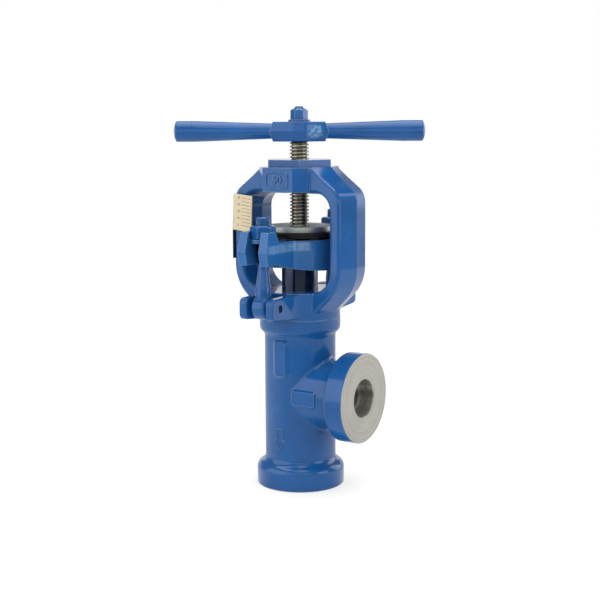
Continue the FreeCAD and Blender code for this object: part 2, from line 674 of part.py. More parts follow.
def yoke():
    ears = ear_pair()
    base = rod(BASE_R, BODY_TOP, BASE_TOP)
    solid = yoke_arms().fuse([base, yoke_hub(), ears, mirrored(ears, V(0, 1, 0))]).removeSplitter()
    cutters = [rod(NECK_R + SEAT_FIT, BODY_TOP - 1, BASE_TOP - BASE_WEB_H)]
    cutters += [rod(PACKING_R + FREE, BODY_TOP, BASE_TOP + 1)]
    cutters += [rod(BUSH_R + SEAT_FIT, BASE_TOP, YOKE_TOP + 1)]
    cutters += pin_holes(PIN_R + SEAT_FIT, -EAR_OUT - 1, EAR_OUT + 1)
    cutters.append(rod_to(GRUB_R + SEAT_FIT, *yoke_screw_line(1.0)))
    cutters.append(rod_to(GRUB_R + SEAT_FIT, *bush_screw_line(HUB_FRONT)))
    cutters += [rod_to(SCALE_SCREW_R + SEAT_FIT, *line) for line in scale_screw_lines()]
    return solid.cut(cutters)


def yoke_screw_line(beyond=0.0):
    """The yoke's locking screw, in the base ring between the rear ears and the left arm."""
    way = V(*on_circle(0.0, 0.0, 1.0, YOKE_SCREW_DEG), 0)
    middle = V(0, 0, (BODY_TOP + BASE_TOP - BASE_WEB_H) / 2)
    return middle + way * (BASE_R + beyond), middle + way * (NECK_R + SEAT_FIT)


def bush_screw_line(length):
    """The bush's locking screw, deep in a hole through the rear flat of the hub."""
    z = (HUB_LOW_Z + YOKE_TOP) / 2
    low = BUSH_R + SEAT_FIT
    return V(0, low + length, z), V(0, low, z)


def thread_bush():
    flange = chamfered_hex(BUSH_AF, YOKE_TOP, BUSH_TOP, BUSH_CHAMFER, BUSH_TURN_DEG, both=False)
    spigot = rod(BUSH_R, HUB_LOW_Z, YOKE_TOP)
    return flange.fuse(spigot).cut(rod(STEM_R + RUN_FIT, HUB_LOW_Z - 1, BUSH_TOP + 1))


def swing_bolt():
    """Eye, tapered neck and threaded stud, built about +Z at the pin's place."""
    eye = Part.makeCylinder(EYE_R, EYE_W, V(-EYE_W / 2, 0, PIN_Z), V(1, 0, 0))
    eye = eye.makeFillet(EYE_ROUND, [e for e in eye.Edges if e.Curve.TypeId == "Part::GeomCircle"])
    waist = EYE_W / 2
    neck_steps = [(waist, PIN_Z), (waist, PIN_Z + EYE_R)]
    neck_steps += shoulder(waist, PIN_Z + EYE_R, SHANK_R, SHANK_NECK_Z)
    neck_steps += [(SHANK_R, THREAD_LOW_Z), (BOLT_R, THREAD_LOW_Z + THREAD_RELIEF)]
    neck_steps += [(BOLT_R, BOLT_TOP - THREAD_RELIEF), (BOLT_R - THREAD_RELIEF, BOLT_TOP), (0.0, BOLT_TOP)]
    bolt = eye.fuse(revolve((0.0, PIN_Z), neck_steps))
    return bolt.cut(rod_to(PIN_R + RUN_FIT, V(-EYE_W, 0, PIN_Z), V(EYE_W, 0, PIN_Z)))


def at_bolt(shape, side):
    placed = shape.copy()
    placed.translate(V(0, side * BOLT_Y, 0))
    return placed


def swing_bolt_pins():
    return Part.makeCompound(pin_holes(PIN_R, -EAR_OUT + PIN_RECESS, EAR_OUT - PIN_RECESS))


def gland_plan(inset, z):
    """Round ring with two straight lugs, joined by root fillets."""
    ring_r, half = GLAND_RING_R - inset, LUG_HALF - inset * LUG_SIDE_SHARE
    end = LUG_END - LUG_END_DRAFT * inset / GLAND_DRAFT
    side_end, mid, touch = root_fillet(ring_r, half, LUG_ROOT_R)
    steps = [((ring_r, 0.0), touch), (mid, side_end), (half, end), (-half, end), (-half, side_end[1])]
    steps += [((-mid[0], mid[1]), (-touch[0], touch[1])), ((-ring_r, 0.0), (-touch[0], -touch[1]))]
    steps += [((-mid[0], -mid[1]), (-half, -side_end[1])), (-half, -end), (half, -end), (half, -side_end[1])]
    steps += [((mid[0], -mid[1]), (touch[0], -touch[1]))]
    return outline((touch[0], -touch[1]), steps, in_xy(z))


def gland_side():
    """Side view: arched underside, horns at the ends."""
    back = HORN_BACK - HORN_SLOPE
    arch_mid = (0.0, GLAND_LOW_Z)
    steps = [(LUG_END, LUG_LOW_Z), (LUG_END, HORN_TOP), (HORN_BACK, HORN_TOP), (back, GLAND_TOP)]
    steps += [(-back, GLAND_TOP), (-HORN_BACK, HORN_TOP), (-LUG_END, HORN_TOP), (-LUG_END, LUG_LOW_Z)]
    steps += [(-ARCH_END_Y, LUG_LOW_Z), (arch_mid, (ARCH_END_Y, LUG_LOW_Z))]
    face = Part.Face(outline((ARCH_END_Y, LUG_LOW_Z), steps, in_yz(-GLAND_RING_R * 2)))
    return face.extrude(V(GLAND_RING_R * 4, 0, 0))


def gland_flange():
    lower = Part.makeLoft([gland_plan(GLAND_DRAFT, GLAND_LOW_Z), gland_plan(0.0, GLAND_PART_Z)], True, True)
    upper = Part.makeLoft([gland_plan(0.0, GLAND_PART_Z), gland_plan(GLAND_DRAFT, HORN_TOP)], True, True)
    solid = lower.fuse(upper).common(gland_side())
    cutters = [rod(PACKING_R + SEAT_FIT, GLAND_LOW_Z - 1, GLAND_STEP_Z)]
    cutters += [rod(STEM_R + GLAND_STEM_GAP, GLAND_LOW_Z, GLAND_TOP)]
    cutters += [rod(GLAND_WELL_R, GLAND_TOP - GLAND_WELL_DEPTH, GLAND_TOP + 1)]
    for side in (-1, 1):
        cutters.append(rod(WASHER_R + POCKET_GAP, GLAND_TOP, HORN_TOP + 1, 0.0, side * BOLT_Y))
        cutters.append(rod(SLOT_HALF, GLAND_LOW_Z, HORN_TOP + 1, 0.0, side * BOLT_Y))
        y0, y1 = sorted((side * BOLT_Y, side * (LUG_END + 1)))
        cutters.append(box(-SLOT_HALF, SLOT_HALF, y0, y1, GLAND_LOW_Z, HORN_TOP + 1))
    return solid.cut(cutters)


def gland_sleeve():
    return tube(PACKING_R, STEM_PASS_R, PACKING_TOP + FREE, GLAND_STEP_Z)


def gland_washers():
    ring = tube(WASHER_R, BOLT_R + WASHER_GAP, GLAND_TOP, NUT_LOW)
    return Part.makeCompound([at_bolt(ring, side) for side in (-1, 1)])


def gland_nut(side):
    nut = chamfered_hex(NUT_AF, NUT_LOW, NUT_LOW + NUT_H, NUT_CHAMFER, NUT_TURN_DEG)
    nut = nut.cut(rod(BOLT_R + RUN_FIT, NUT_LOW - 1, NUT_LOW + NUT_H + 1))
    return at_bolt(nut, side)


def indicator_disc():
    low, bore = DISC_TOP - DISC_T, STEM_R + SEAT_FIT
    steps = [(DISC_R, low), (DISC_R, DISC_TOP - DISC_EDGE), (DISC_R - DISC_EDGE, DISC_TOP), (bore, DISC_TOP)]
    return revolve((bore, low), steps)


def indicator_collar():
    """Clamp collar with a round plate that backs the disc."""
    high = DISC_TOP - DISC_T
    collar = tube(COLLAR_R, STEM_R + SEAT_FIT, high - COLLAR_H, high)
    plate = tube(COLLAR_PLATE_R, STEM_R + SEAT_FIT, high - COLLAR_PLATE_T, high)
    start, end = collar_screw_line()
    return collar.fuse(plate).cut(rod_to(SET_SCREW_R + SEAT_FIT, start + V(0, 1, 0), end))


def collar_screw_line():
    z = DISC_TOP - DISC_T - (COLLAR_PLATE_T + COLLAR_H) / 2
    return V(0, COLLAR_R, z), V(0, STEM_R + SEAT_FIT, z)


def collar_set_screw():
    return rod_to(SET_SCREW_R, *collar_screw_line())


def handle():
    """Drafted hub and two flared round arms, turned to the position in which the valve is closed."""
    def hub_plan(inset, z):
        end, flat = HANDLE_HUB_HALF - inset, HANDLE_HUB_FLAT
        depth = HANDLE_HUB_DEPTH - inset * HANDLE_SIDE_SHARE
        side = HANDLE_HUB_END - inset * HANDLE_SIDE_SHARE
        right = [(flat, -depth), (end, -side), (end, side), (flat, depth)]
        points = right + [(-x, y) for x, y in reversed(right)]
        return outline(points[0], points[1:], in_xy(z))

    hub_low = Part.makeLoft([hub_plan(HANDLE_HUB_DRAFT, HANDLE_LOW), hub_plan(0.0, HANDLE_Z)], True, True)
    hub_high = Part.makeLoft([hub_plan(0.0, HANDLE_Z), hub_plan(HANDLE_HUB_DRAFT, HANDLE_TOP)], True, True)
    dome_start = HANDLE_HALF - GRIP_DOME
    dome_r = (GRIP_END_R ** 2 + GRIP_DOME ** 2) / (2 * GRIP_DOME)
    dome_half_deg = math.degrees(math.asin(GRIP_END_R / dome_r)) / 2
    dome_mid = on_circle(0.0, HANDLE_HALF - dome_r, dome_r, 90 - dome_half_deg)
    arm_steps = [(GRIP_ROOT_R, 0.0), (GRIP_ROOT_R, HANDLE_HUB_HALF)]
    arm_steps += [(GRIP_END_R, HANDLE_HALF * GRIP_FLARE_SHARE), (GRIP_END_R, dome_start)]
    arm_steps += [(dome_mid, (0.0, HANDLE_HALF))]
    arm = revolve((0.0, 0.0), arm_steps)
    rim = [e for e in arm.Edges if e.Closed and abs(e.Vertexes[0].Z - dome_start) < 1e-6]
    arm = turn_to_x(arm.makeFillet(GRIP_EDGE_R, rim))
    arm.translate(V(0, 0, HANDLE_Z))
    hub = hub_low.fuse(hub_high).removeSplitter()
    hub = hub.makeFillet(HANDLE_HUB_EDGE_R, [e for e in hub.Edges if e.Vertexes[0].Z == e.Vertexes[1].Z
                                             and abs(e.Vertexes[0].Z - HANDLE_Z) > 1])
    solid = hub.fuse([arm, mirrored(arm, V(1, 0, 0))])
    hole = DRIVE_AF / 2 + SEAT_FIT
    socket = box(-hole, hole, -hole, hole, HANDLE_LOW - 1, HANDLE_TOP + 1).common(
        rod(STEM_R + SEAT_FIT, HANDLE_LOW - 1, HANDLE_TOP + 1))
    solid = solid.cut(socket)
    solid.rotate(V(0, 0, 0), Z_AXIS, HANDLE_DEG)
    return solid


def handle_washer():
    return tube(TOP_WASHER_R, TOP_STUD_R + TOP_WASHER_GAP, HANDLE_TOP, HANDLE_TOP + TOP_WASHER_H)


def handle_lock_nut():
    low = HANDLE_TOP + TOP_WASHER_H
    nut = chamfered_hex(TOP_NUT_AF, low, low + TOP_NUT_H, TOP_NUT_CHAMFER, HANDLE_DEG, both=False)
    return nut.cut(rod(TOP_STUD_R + SEAT_FIT, low - 1, low + TOP_NUT_H + 1))


def arm_side_frame():
    """Front corner, way to the rear and outward normal of the left arm's outer face, in plan."""
    front = V(-ARM_OUT_FACE, -YOKE_DEPTH, 0)
    rearward = (V(-ARM_OUT_RIDGE, 0, 0) - front).normalize()
    return front, rearward, V(-rearward.y, rearward.x, 0)


def wing_frame():
    """Bend of the bracket, way along its wing and way to the wing's front, in plan."""
    front, rearward, outward = arm_side_frame()
    way = V(*on_circle(0.0, 0.0, 1.0, -SCALE_TURN_DEG), 0)
    return front - rearward * SCALE_BEND_OUT, way, V(way.y, -way.x, 0)


def scale_bracket():
    """Leg on the arm's outer face, bent round its front corner to carry the plate."""
    front, rearward, outward = arm_side_frame()
    bend, way, ahead = wing_frame()
    leg_end = bend + rearward * SCALE_LEG_W
    wing_end = bend + way * (SCALE_INSET + SCALE_W - SCALE_OVERLAP)

    def strip(points, z0, z1):
        flat = [(p.x, p.y) for p in points]
        return prism(flat[0], flat[1:], z0, z1)

    corner = bend + outward * SCALE_LEG_T
    wing_start = bend + way * (SCALE_INSET + SCALE_OVERLAP)
    thick = ahead * SCALE_LEG_T
    leg = strip([bend, leg_end, leg_end + outward * SCALE_LEG_T, corner], SCALE_LEG_LOW_Z, SCALE_LEG_HIGH_Z)
    neck = strip([bend, corner, bend + thick, wing_start + thick, wing_start],
                 SCALE_LOW_Z + SCALE_WING_INSET, SCALE_LEG_HIGH_Z)
    wing = strip([wing_start, wing_start + thick, wing_end + thick, wing_end],
                 SCALE_LOW_Z + SCALE_WING_INSET, SCALE_HIGH_Z - SCALE_WING_INSET)
    solid = leg.fuse([neck, wing]).removeSplitter()
    return solid.cut([rod_to(SCALE_SCREW_R + SEAT_FIT, *line) for line in scale_screw_lines(SCALE_LEG_T + 1)])


def scale_plate():
    """The scale itself, bonded to the bracket's wing and slightly tilted."""
    bend, way, ahead = wing_frame()
    half_h = (SCALE_HIGH_Z - SCALE_LOW_Z) / 2
    plate = box(-SCALE_W / 2, SCALE_W / 2, -SCALE_T, 0, -half_h, half_h)
    plate.rotate(V(0, 0, 0), V(0, 1, 0), SCALE_TILT_DEG)
    plate.rotate(V(0, 0, 0), Z_AXIS, -SCALE_TURN_DEG)
    place = bend + ahead * SCALE_LEG_T + way * (SCALE_INSET + SCALE_W / 2)
    plate.translate(place + V(0, 0, SCALE_LOW_Z + half_h))
    return plate


def scale_screw_lines(beyond=0.0):
    """Axis of each screw, from `beyond` outside the arm's face inwards."""
    front, rearward, outward = arm_side_frame()
    middle = front + rearward * (SCALE_LEG_W / 2)
    depth = SCALE_SCREW_LEN - SCALE_LEG_T
    return [(middle + outward * beyond + V(0, 0, z), middle - outward * depth + V(0, 0, z))
            for z in SCALE_SCREW_Z]


def scale_screws():
    outward = arm_side_frame()[2]
    screws = []
    for start, end in scale_screw_lines(SCALE_LEG_T):
        head = rod_to(SCALE_SCREW_HEAD_R, start, start + outward * SCALE_SCREW_HEAD_H)
        screws.append(rod_to(SCALE_SCREW_R, start, end).fuse(head))
    return Part.makeCompound(screws)


ON_YOKE = ("yoke", "yoke_locking_screw", "thread_bush", "bush_locking_screw", "swing_bolt_front",
           "swing_bolt_rear", "swing_bolt_pins", "gland_flange", "gland_washers", "gland_nut_front",
           "gland_nut_rear", "indicator_collar", "collar_set_screw", "scale_bracket", "scale_plate",
           "scale_screws")


def build():
    bolt = swing_bolt()
    shapes = {
        "valve_body": valve_body(),
        "seat_gasket": seat_gasket(),
        "seat_bush": seat_bush(),
        "nozzle_sleeve_inner": nozzle_sleeve(0),
        "nozzle_sleeve_middle": nozzle_sleeve(1),
        "nozzle_sleeve_outer": nozzle_sleeve(2),
        "stuffing_box_insert": stuffing_box_insert(),
        "body_seal_rings": body_seal_rings(),
        "packing_base_ring": packing_base_ring(),
        "packing_rings": packing_rings(),
        "plug": plug(),
        "plug_thrust_pad": plug_thrust_pad(),
        "plug_retaining_ring": plug_retaining_ring(),
        "stem": stem(),
        "yoke": yoke(),
        "yoke_locking_screw": grub_screw(*yoke_screw_line()),
        "thread_bush": thread_bush(),
        "bush_locking_screw": grub_screw(*bush_screw_line(GRUB_LEN)),
        "swing_bolt_front": at_bolt(bolt, -1),
        "swing_bolt_rear": at_bolt(bolt, 1),
        "swing_bolt_pins": swing_bolt_pins(),
        "gland_flange": gland_flange(),
        "gland_sleeve": gland_sleeve(),
        "gland_washers": gland_washers(),
        "gland_nut_front": gland_nut(-1),
        "gland_nut_rear": gland_nut(1),
        "indicator_disc": indicator_disc(),
        "indicator_collar": indicator_collar(),
        "collar_set_screw": collar_set_screw(),
        "scale_bracket": scale_bracket(),
        "scale_plate": scale_plate(),
        "scale_screws": scale_screws(),
        "handle": handle(),
        "handle_washer": handle_washer(),
        "handle_lock_nut": handle_lock_nut(),
    }
    for name in ON_YOKE:
        shapes[name].rotate(V(0, 0, 0), Z_AXIS, YOKE_TURN_DEG)
    return shapes


os.makedirs("parts", exist_ok=True)
for name, shape in build().items():
    if not shape.isValid():
        print("not valid:", name)
    shape.exportStep(os.path.join("parts", name + ".step"))
    print(name, len(shape.Solids), "solids", round(shape.Volume / 1000.0, 1), "cm3")
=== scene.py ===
import json
import math

import bmesh
import bpy
from mathutils import Matrix, Vector


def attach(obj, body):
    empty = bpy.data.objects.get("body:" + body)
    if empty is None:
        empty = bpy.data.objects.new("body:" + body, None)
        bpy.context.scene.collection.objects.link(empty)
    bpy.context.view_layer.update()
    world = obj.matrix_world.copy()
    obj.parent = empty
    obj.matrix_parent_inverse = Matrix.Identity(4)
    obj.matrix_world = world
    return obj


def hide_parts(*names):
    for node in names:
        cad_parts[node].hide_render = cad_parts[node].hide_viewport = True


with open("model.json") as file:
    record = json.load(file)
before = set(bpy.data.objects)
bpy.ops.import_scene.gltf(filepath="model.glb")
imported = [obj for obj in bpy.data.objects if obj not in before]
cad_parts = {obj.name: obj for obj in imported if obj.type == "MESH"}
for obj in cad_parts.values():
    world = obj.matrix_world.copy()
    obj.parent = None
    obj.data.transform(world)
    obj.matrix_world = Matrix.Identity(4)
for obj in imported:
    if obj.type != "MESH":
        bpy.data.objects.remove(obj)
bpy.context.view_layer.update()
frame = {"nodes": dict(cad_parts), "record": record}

NODES = frame["nodes"]
MM = 0.001

# Camera, from the photograph: degrees, metres, and mm for the lens and the sensor
CAM_AZIMUTH = 33.2
CAM_PITCH = 8.2
CAM_ROLL = -0.27
CAM_DISTANCE = 1.812
CAM_HEIGHT = 0.536
CAM_LENS = 74.28
CAM_SENSOR = 36.0
CAM_CLIP_END = 50.0

# Softboxes: azimuth from the camera to its right and elevation, in degrees, then distance,
# width and height in metres, then the brightness of the lamp's face
SOFTBOXES = {
    "softbox_left": (-69.0, 14.0, 2.4, 3.0, 2.6, 1.4),
    "softbox_front_low": (-2.0, 14.5, 2.4, 3.0, 1.1, 0.8),
    "softbox_right": (118.0, 14.0, 2.4, 1.3, 2.2, 1.9),
    "softbox_side": (62.0, 11.0, 2.4, 1.3, 1.3, 1.9),
    "softbox_front": (28.0, 62.0, 2.4, 2.2, 1.4, 1.3),
    "softbox_top": (180.0, 82.0, 2.2, 2.6, 2.2, 2.4),
}
LAMP_TARGET = Vector((0, 0, 0.3))

# Floor and world
FLOOR_R = 6.0
FLOOR_SEGS = 96
FLOOR_DROP = 0.0002
# Painted contact shadow: how far the floor's glow dims near the object, and that glow in the
# deepest shade and in the open
FLOOR_SHADE_REACH = 0.16
FLOOR_GLOW = (0.72, 0.93)        # in the deepest shade and in the open, as the camera sees it
# Painted light: the floor's glow as reflections see it, brighter to the sides, with a painted dark
# strip and a dark rim
TABLE_LEVEL = (0.62, 0.85)       # the floor's brightness in a reflection, ahead and to the sides
TABLE_SIDES = (0.7, 1.0)         # where it changes, by the squared sine of the angle to the view
TABLE_STRIP = (820.0, 900.0, 1150.0, 1250.0)    # a dark strip before the object, in mm
TABLE_STRIP_WIDTH = (0.72, 0.92)                # its ends, by the cosine of that angle
TABLE_STRIP_SHARE = 0.95
TABLE_RIM = (2200.0, 2900.0)     # in mm, where the floor goes dark
TABLE_RIM_LEVEL = (1.0, 0.25)
BACKDROP_WIDTH = (0.55, 0.85)    # cosine of the angle to the view's direction
BACKDROP_TOP = (0.3, 0.2)        # sine of the elevation
WORLD_FILL = 0.5                 # strength of the world's light on the object
REFLECTED_FILL = 0.22            # what its surfaces reflect of the dim side of the room

# Stem, in mm. Its foot is listed as (radius, height)
STEM_SEGS = 72
STEM_R = 14.0
STEM_FOOT = (
    (0.0, 140.35), (11.2, 140.35), (11.2, 148.35),
    (7.5, 148.35), (7.5, 168.35), (14.0, 168.35),
)
STEM_THREAD_LOW = 334.0
STEM_THREAD_TOP = 507.5
STEM_PITCH = 5.0
STEM_ROOT_R = 11.3
STEM_CONE = 1.0
DRIVE_TOP = 535.0
DRIVE_HALF = 10.0
HANDLE_DEG = 31.6
STUD_R = 7.0
STUD_ROOT_R = 6.0
STUD_PITCH = 2.0
STUD_NECK = 2.0
STUD_TIP = 1.5
STUD_TIP_IN = 0.8
STUD_TOP = 558.0

# Swing bolts, in mm
BOLT_SEGS = 48
BOLT_Y = 94.0
BOLT_R = 10.0
BOLT_ROOT_R = 8.5
BOLT_NECK_R = 7.6
BOLT_PITCH = 2.5
BOLT_CUT_Z = 346.0
BOLT_TIP = 1.0
BOLT_TIP_IN = 0.9
BOLT_TOP = 404.0

# Threads: the crest's and one flank's share of the pitch
TRAPEZOID = (0.34, 0.16)
STUD_FORM = (0.15, 0.36)
BOLT_FORM = (0.16, 0.34)
RUN_OUT = 0.3                    # share of the pitch over which a thread ends at its top

# Turned skins
POLE_R = 0.05                    # radius that stands for 0, in mm
SKIN_WELD = 2e-7                 # merging distance, in metres
CUT_TOLERANCE = 1e-6
SMOOTH_DEG = 30.0

# Travel indicator, in mm
INDICATOR_SEGS = 96
STEM_BORE_R = 14.05
DISC_R = 49.0
DISC_LOW = 378.0
DISC_TOP = 386.0
DISC_EDGE = 0.6
COLLAR_R = 21.0
COLLAR_LOW = 370.5
# Black cup under the disc; its skirt reaches into the gap above the gland as painted shade
CUP_R = 59.0
CUP_T = 3.0
CUP_LOW = 371.4

# Travel scale, in mm and degrees
LIFT = 40
ARM_FACE = 90.3
ARM_RIDGE = 97.8
YOKE_DEPTH = 38.0
SCALE_BEND_OUT = 2.5
SCALE_LEG_T = 2.0
SCALE_INSET = 2.2
SCALE_W = 42.5
SCALE_T = 1.0
SCALE_TURN = 15.0
SCALE_TILT = 3.5
SCALE_MID_Z = 404.5
LINE_STEP = 5
FIGURE_STEP = 10
LINE_END = 19.6
LINE_START = -0.8
LONG_LINE_START = -3.3
LINE_W = 0.45
PRINT_T = 0.12
SCALE_FIGURE_SIZE = 4.8
SCALE_FIGURE_U = -8.4

# Marks cast on the forgings, in mm and degrees
HUB_FRONT = 58.0
HUB_MIDDLE = (-0.7, 453.5)
HUB_FRAME = (18.0, 11.1, 4.5)    # half width, half height, corner radius
HUB_RIDGE = (1.4, 1.7)           # half width, height
HUB_FIGURE = "50"
HUB_FIGURE_SIZE = 17.0
HUB_FIGURE_DEPTH = 1.6
HUB_FIGURE_LIFT = 0.3
BARREL_R = 52.6
ARROW_DEG = -92.7
ARROW_RIDGE = (0.95, 1.3)
ARROW_HALF = 4.6
ARROW_HEAD = 9.5
ARROW_TOP = 90.0
ARROW_NECK = 73.0
ARROW_TIP = 59.5
ARROW_STEPS = 4
RIDGE_SINK = 0.4
MITRE_LIMIT = 0.4
CORNER_STEPS = 5
FIGURE_BEVEL = 0.2               # share of a raised figure's depth
FIGURE_WELD = 1e-7

# Masks of the looks, in mm. A pair is where a mask is 0 and where it is 1, and four numbers are
# the two soft ends of a stretch
INLET_Z = 139.0
INLET_FACE = (109.6, 109.8)
INLET_BORE_R = (28.9, 28.8)
INLET_BORE_X = (30.0, 31.0)
INLET_WALL = (76.0, 90.0)
INLET_WALL_DARK = (13.0, 24.0)
INLET_STEP = (97.6, 98.2, 99.4, 100.0)
OUTLET_FACE = (0.3, 0.1)
CHAMBER_R = (36.5, 36.3)
NECK_FACE = (251.9, 252.1)
NECK_R = (46.5, 46.4)
HUB_PATCH_ALONG = (10.0, 16.0, 31.0, 37.0)
HUB_PATCH_OUT = (12.0, 15.0)
HUB_PATCH_UP = (511.0, 516.0, 529.0, 534.0)
GLAND_BAND_ALONG = (-43.0, -38.0, 12.0, 20.0)
GLAND_BAND_FRONT = (-16.0, -30.0)
GLAND_BAND_UP = (352.5, 354.5, 364.0, 366.5)
BOLT_DARK_THREAD = (336.5, 337.5, 372.5, 373.5)
STEM_ROOT_SHADE = (13.2, 11.6)
STEM_PAINTED = (536.5, 536.7)
SCALE_WING = (377.8, 378.2)
EDGE_RADIUS = 2.4
EDGE_TURN = (0.03, 0.17)         # how far the normal turns there, as 1 minus a cosine

# Shares of the tones laid over others
SHEEN_SHARE = 0.6
SMEAR_SHARE = 0.4
BLOTCH_SHARE = 0.3
WALL_SHARE = 0.8
WALL_DARK_SHARE = 0.65
WALL_DULL = 0.6                  # how much of the metal's shine the wall loses
STEP_SHARE = 0.85
ROOT_SHADE_SHARE = 0.75
CLOUD_SHARE = 0.5

NOISE_RANGE = (0.3, 0.7)         # where most of a noise's values lie


def srgb(r, g, b):
    """Linear colour of an 8-bit sRGB one."""
    def lin(v):
        v /= 255.0
        return v / 12.92 if v <= 0.04045 else ((v + 0.055) / 1.055) ** 2.4
    return (lin(r), lin(g), lin(b), 1.0)


def grey(level):
    """Neutral colour of a linear level."""
    return (level, level, level, 1.0)


# Pairs of tones that a noise mixes, the darker one first
BLUE = (srgb(17, 74, 132), srgb(22, 86, 148))
# A paler copy of the blue, painted light on the gland flange
GLAND_BLUE_LIT = (srgb(32, 88, 146), srgb(40, 97, 156))
# Darkened blue of the hinge pins, painted shade in their holes
PIN_SHADE_BLUE = (srgb(10, 26, 50), srgb(14, 36, 68))
# Dark steel of the gland sleeve, its blue tint a painted reflection of the blue parts round it
SLEEVE_REFLECTED_BLUE = (srgb(14, 30, 58), srgb(20, 42, 78))
BLACK = (srgb(10, 10, 12), srgb(20, 21, 24))
SHEET_BLACK = (srgb(14, 15, 18), srgb(26, 28, 32))
SHEET_BEIGE = (srgb(176, 164, 136), srgb(192, 180, 152))
SCALE_BEIGE = (srgb(196, 180, 146), srgb(212, 198, 166))
SCALE_INK = (srgb(50, 46, 38), srgb(70, 64, 52))
GRAPHITE = (srgb(22, 22, 24), srgb(44, 44, 46))
FACE_STEEL = (srgb(150, 147, 139), srgb(208, 206, 197))
BORE_STEEL = (srgb(88, 85, 77), srgb(172, 169, 160))
STEM_STEEL = (srgb(150, 144, 128), srgb(216, 211, 196))
TRIM_STEEL = (srgb(120, 118, 112), srgb(186, 184, 178))
DARK_THREAD_STEEL = (srgb(30, 30, 34), srgb(58, 58, 62))
ZINC = (srgb(166, 174, 169), srgb(212, 218, 212))
BRONZE = (srgb(120, 84, 40), srgb(176, 132, 72))
FLOOR_PALE = (grey(0.86), grey(0.88))

# Single tones laid over them
# Painted highlight along the edges
EDGE_HIGHLIGHT = srgb(150, 190, 220)
# Painted reflection: pale patches on the handle's hub and on the gland
SHEEN_TONE = srgb(142, 180, 206)
FACE_SMEAR = srgb(196, 192, 184)
FACE_BLOTCH = srgb(128, 122, 110)
# Painted shade in the inlet bore, on its wall and at its step
BORE_SHADE = srgb(58, 56, 48)
BORE_STEP_SHADE = srgb(62, 59, 52)
STEEL_STAIN = srgb(40, 36, 30)
# Painted shade in the stem's thread roots
THREAD_ROOT_SHADE = srgb(44, 40, 33)
ZINC_CLOUD = srgb(134, 140, 128)
FLOOR_SEEN = grey(0.16)          # under the glow that the camera sees
FLOOR_REFLECTED = grey(0.04)
FILL_TINT = (0.96, 0.98, 1.0, 1.0)
WHITE = grey(1.0)


class Nodes:
    """Short calls for building a node tree."""

    MIX_SOCKETS = {"FLOAT": (2, 3, 0), "VECTOR": (4, 5, 1), "RGBA": (6, 7, 2)}

    def __init__(self, tree, coords):
        self.tree = tree
        tree.nodes.clear()
        self.coords = self.add("ShaderNodeTexCoord").outputs[coords]

    def add(self, kind, **settings):
        node = self.tree.nodes.new(kind)
        for key, value in settings.items():
            setattr(node, key, value)
        return node

    def feed(self, socket, value):
        """Link a socket to another one, or write its value."""
        if isinstance(value, bpy.types.NodeSocket):
            self.tree.links.new(value, socket)
        else:
            socket.default_value = value

    def split(self):
        """The three coordinates."""
        node = self.add("ShaderNodeSeparateXYZ")
        self.feed(node.inputs[0], self.coords)
        return node.outputs

    def combine(self, x, y=0.0):
        node = self.add("ShaderNodeCombineXYZ")
        self.feed(node.inputs[0], x)
        self.feed(node.inputs[1], y)
        return node.outputs[0]

    def math(self, operation, *values):
        """One math node, or a chain of them where there are more than two values."""
        node = self.add("ShaderNodeMath", operation=operation)
        for socket, value in zip(node.inputs[:2], values):
            self.feed(socket, value)
        result = node.outputs[0]
        return self.math(operation, result, *values[2:]) if values[2:] else result

    def times(self, *values):
        return self.math("MULTIPLY", *values)

    def hypot(self, a, b):
        return self.math("SQRT", self.math("ADD", self.times(a, a), self.times(b, b)))

    def along(self, x, y, degrees):
        """Distance along a level direction, given by its angle from +X."""
        a = math.radians(degrees)
        return self.math("ADD", self.times(x, math.cos(a)), self.times(y, math.sin(a)))

    def ramp(self, value, low, high, out_low=0.0, out_high=1.0):
        """A value's range from low to high, clamped, turned into another range."""
        node = self.add("ShaderNodeMapRange")
        for socket, given in zip(node.inputs[:5], (value, low, high, out_low, out_high)):
            self.feed(socket, given)
        return node.outputs[0]

    def fade(self, length, low, high, out_low=0.0, out_high=1.0):
        """A ramp over a length whose ends are given in mm."""
        return self.ramp(length, low * MM, high * MM, out_low, out_high)

    def window(self, length, low, full_low, full_high, high):
        """1 inside a stretch and 0 outside it, with its soft ends given in mm."""
        return self.times(self.fade(length, low, full_low), self.fade(length, high, full_high))

    def noise(self, scale, detail, rough, vector=None):
        node = self.add("ShaderNodeTexNoise")
        node.inputs["Scale"].default_value = scale
        node.inputs["Detail"].default_value = detail
        node.inputs["Roughness"].default_value = rough
        self.feed(node.inputs["Vector"], vector or self.coords)
        return node.outputs[0]

    def spread(self, noise, out_low=0.0, out_high=1.0):
        """A noise's usual range stretched to 0 and 1, or to other limits."""
        return self.ramp(noise, *NOISE_RANGE, out_low, out_high)

    def mix(self, factor, a, b, kind="RGBA"):
        node = self.add("ShaderNodeMix", data_type=kind)
        in_a, in_b, out = self.MIX_SOCKETS[kind]
        self.feed(node.inputs[0], factor)
        self.feed(node.inputs[in_a], a)
        self.feed(node.inputs[in_b], b)
        return node.outputs[out]

    def rays(self):
        """Whether a ray comes from the camera, and whether from a glossy or clear surface."""
        path = self.add("ShaderNodeLightPath").outputs
        bounced = self.math("MAXIMUM", path["Is Glossy Ray"], path["Is Transmission Ray"])
        return path["Is Camera Ray"], bounced


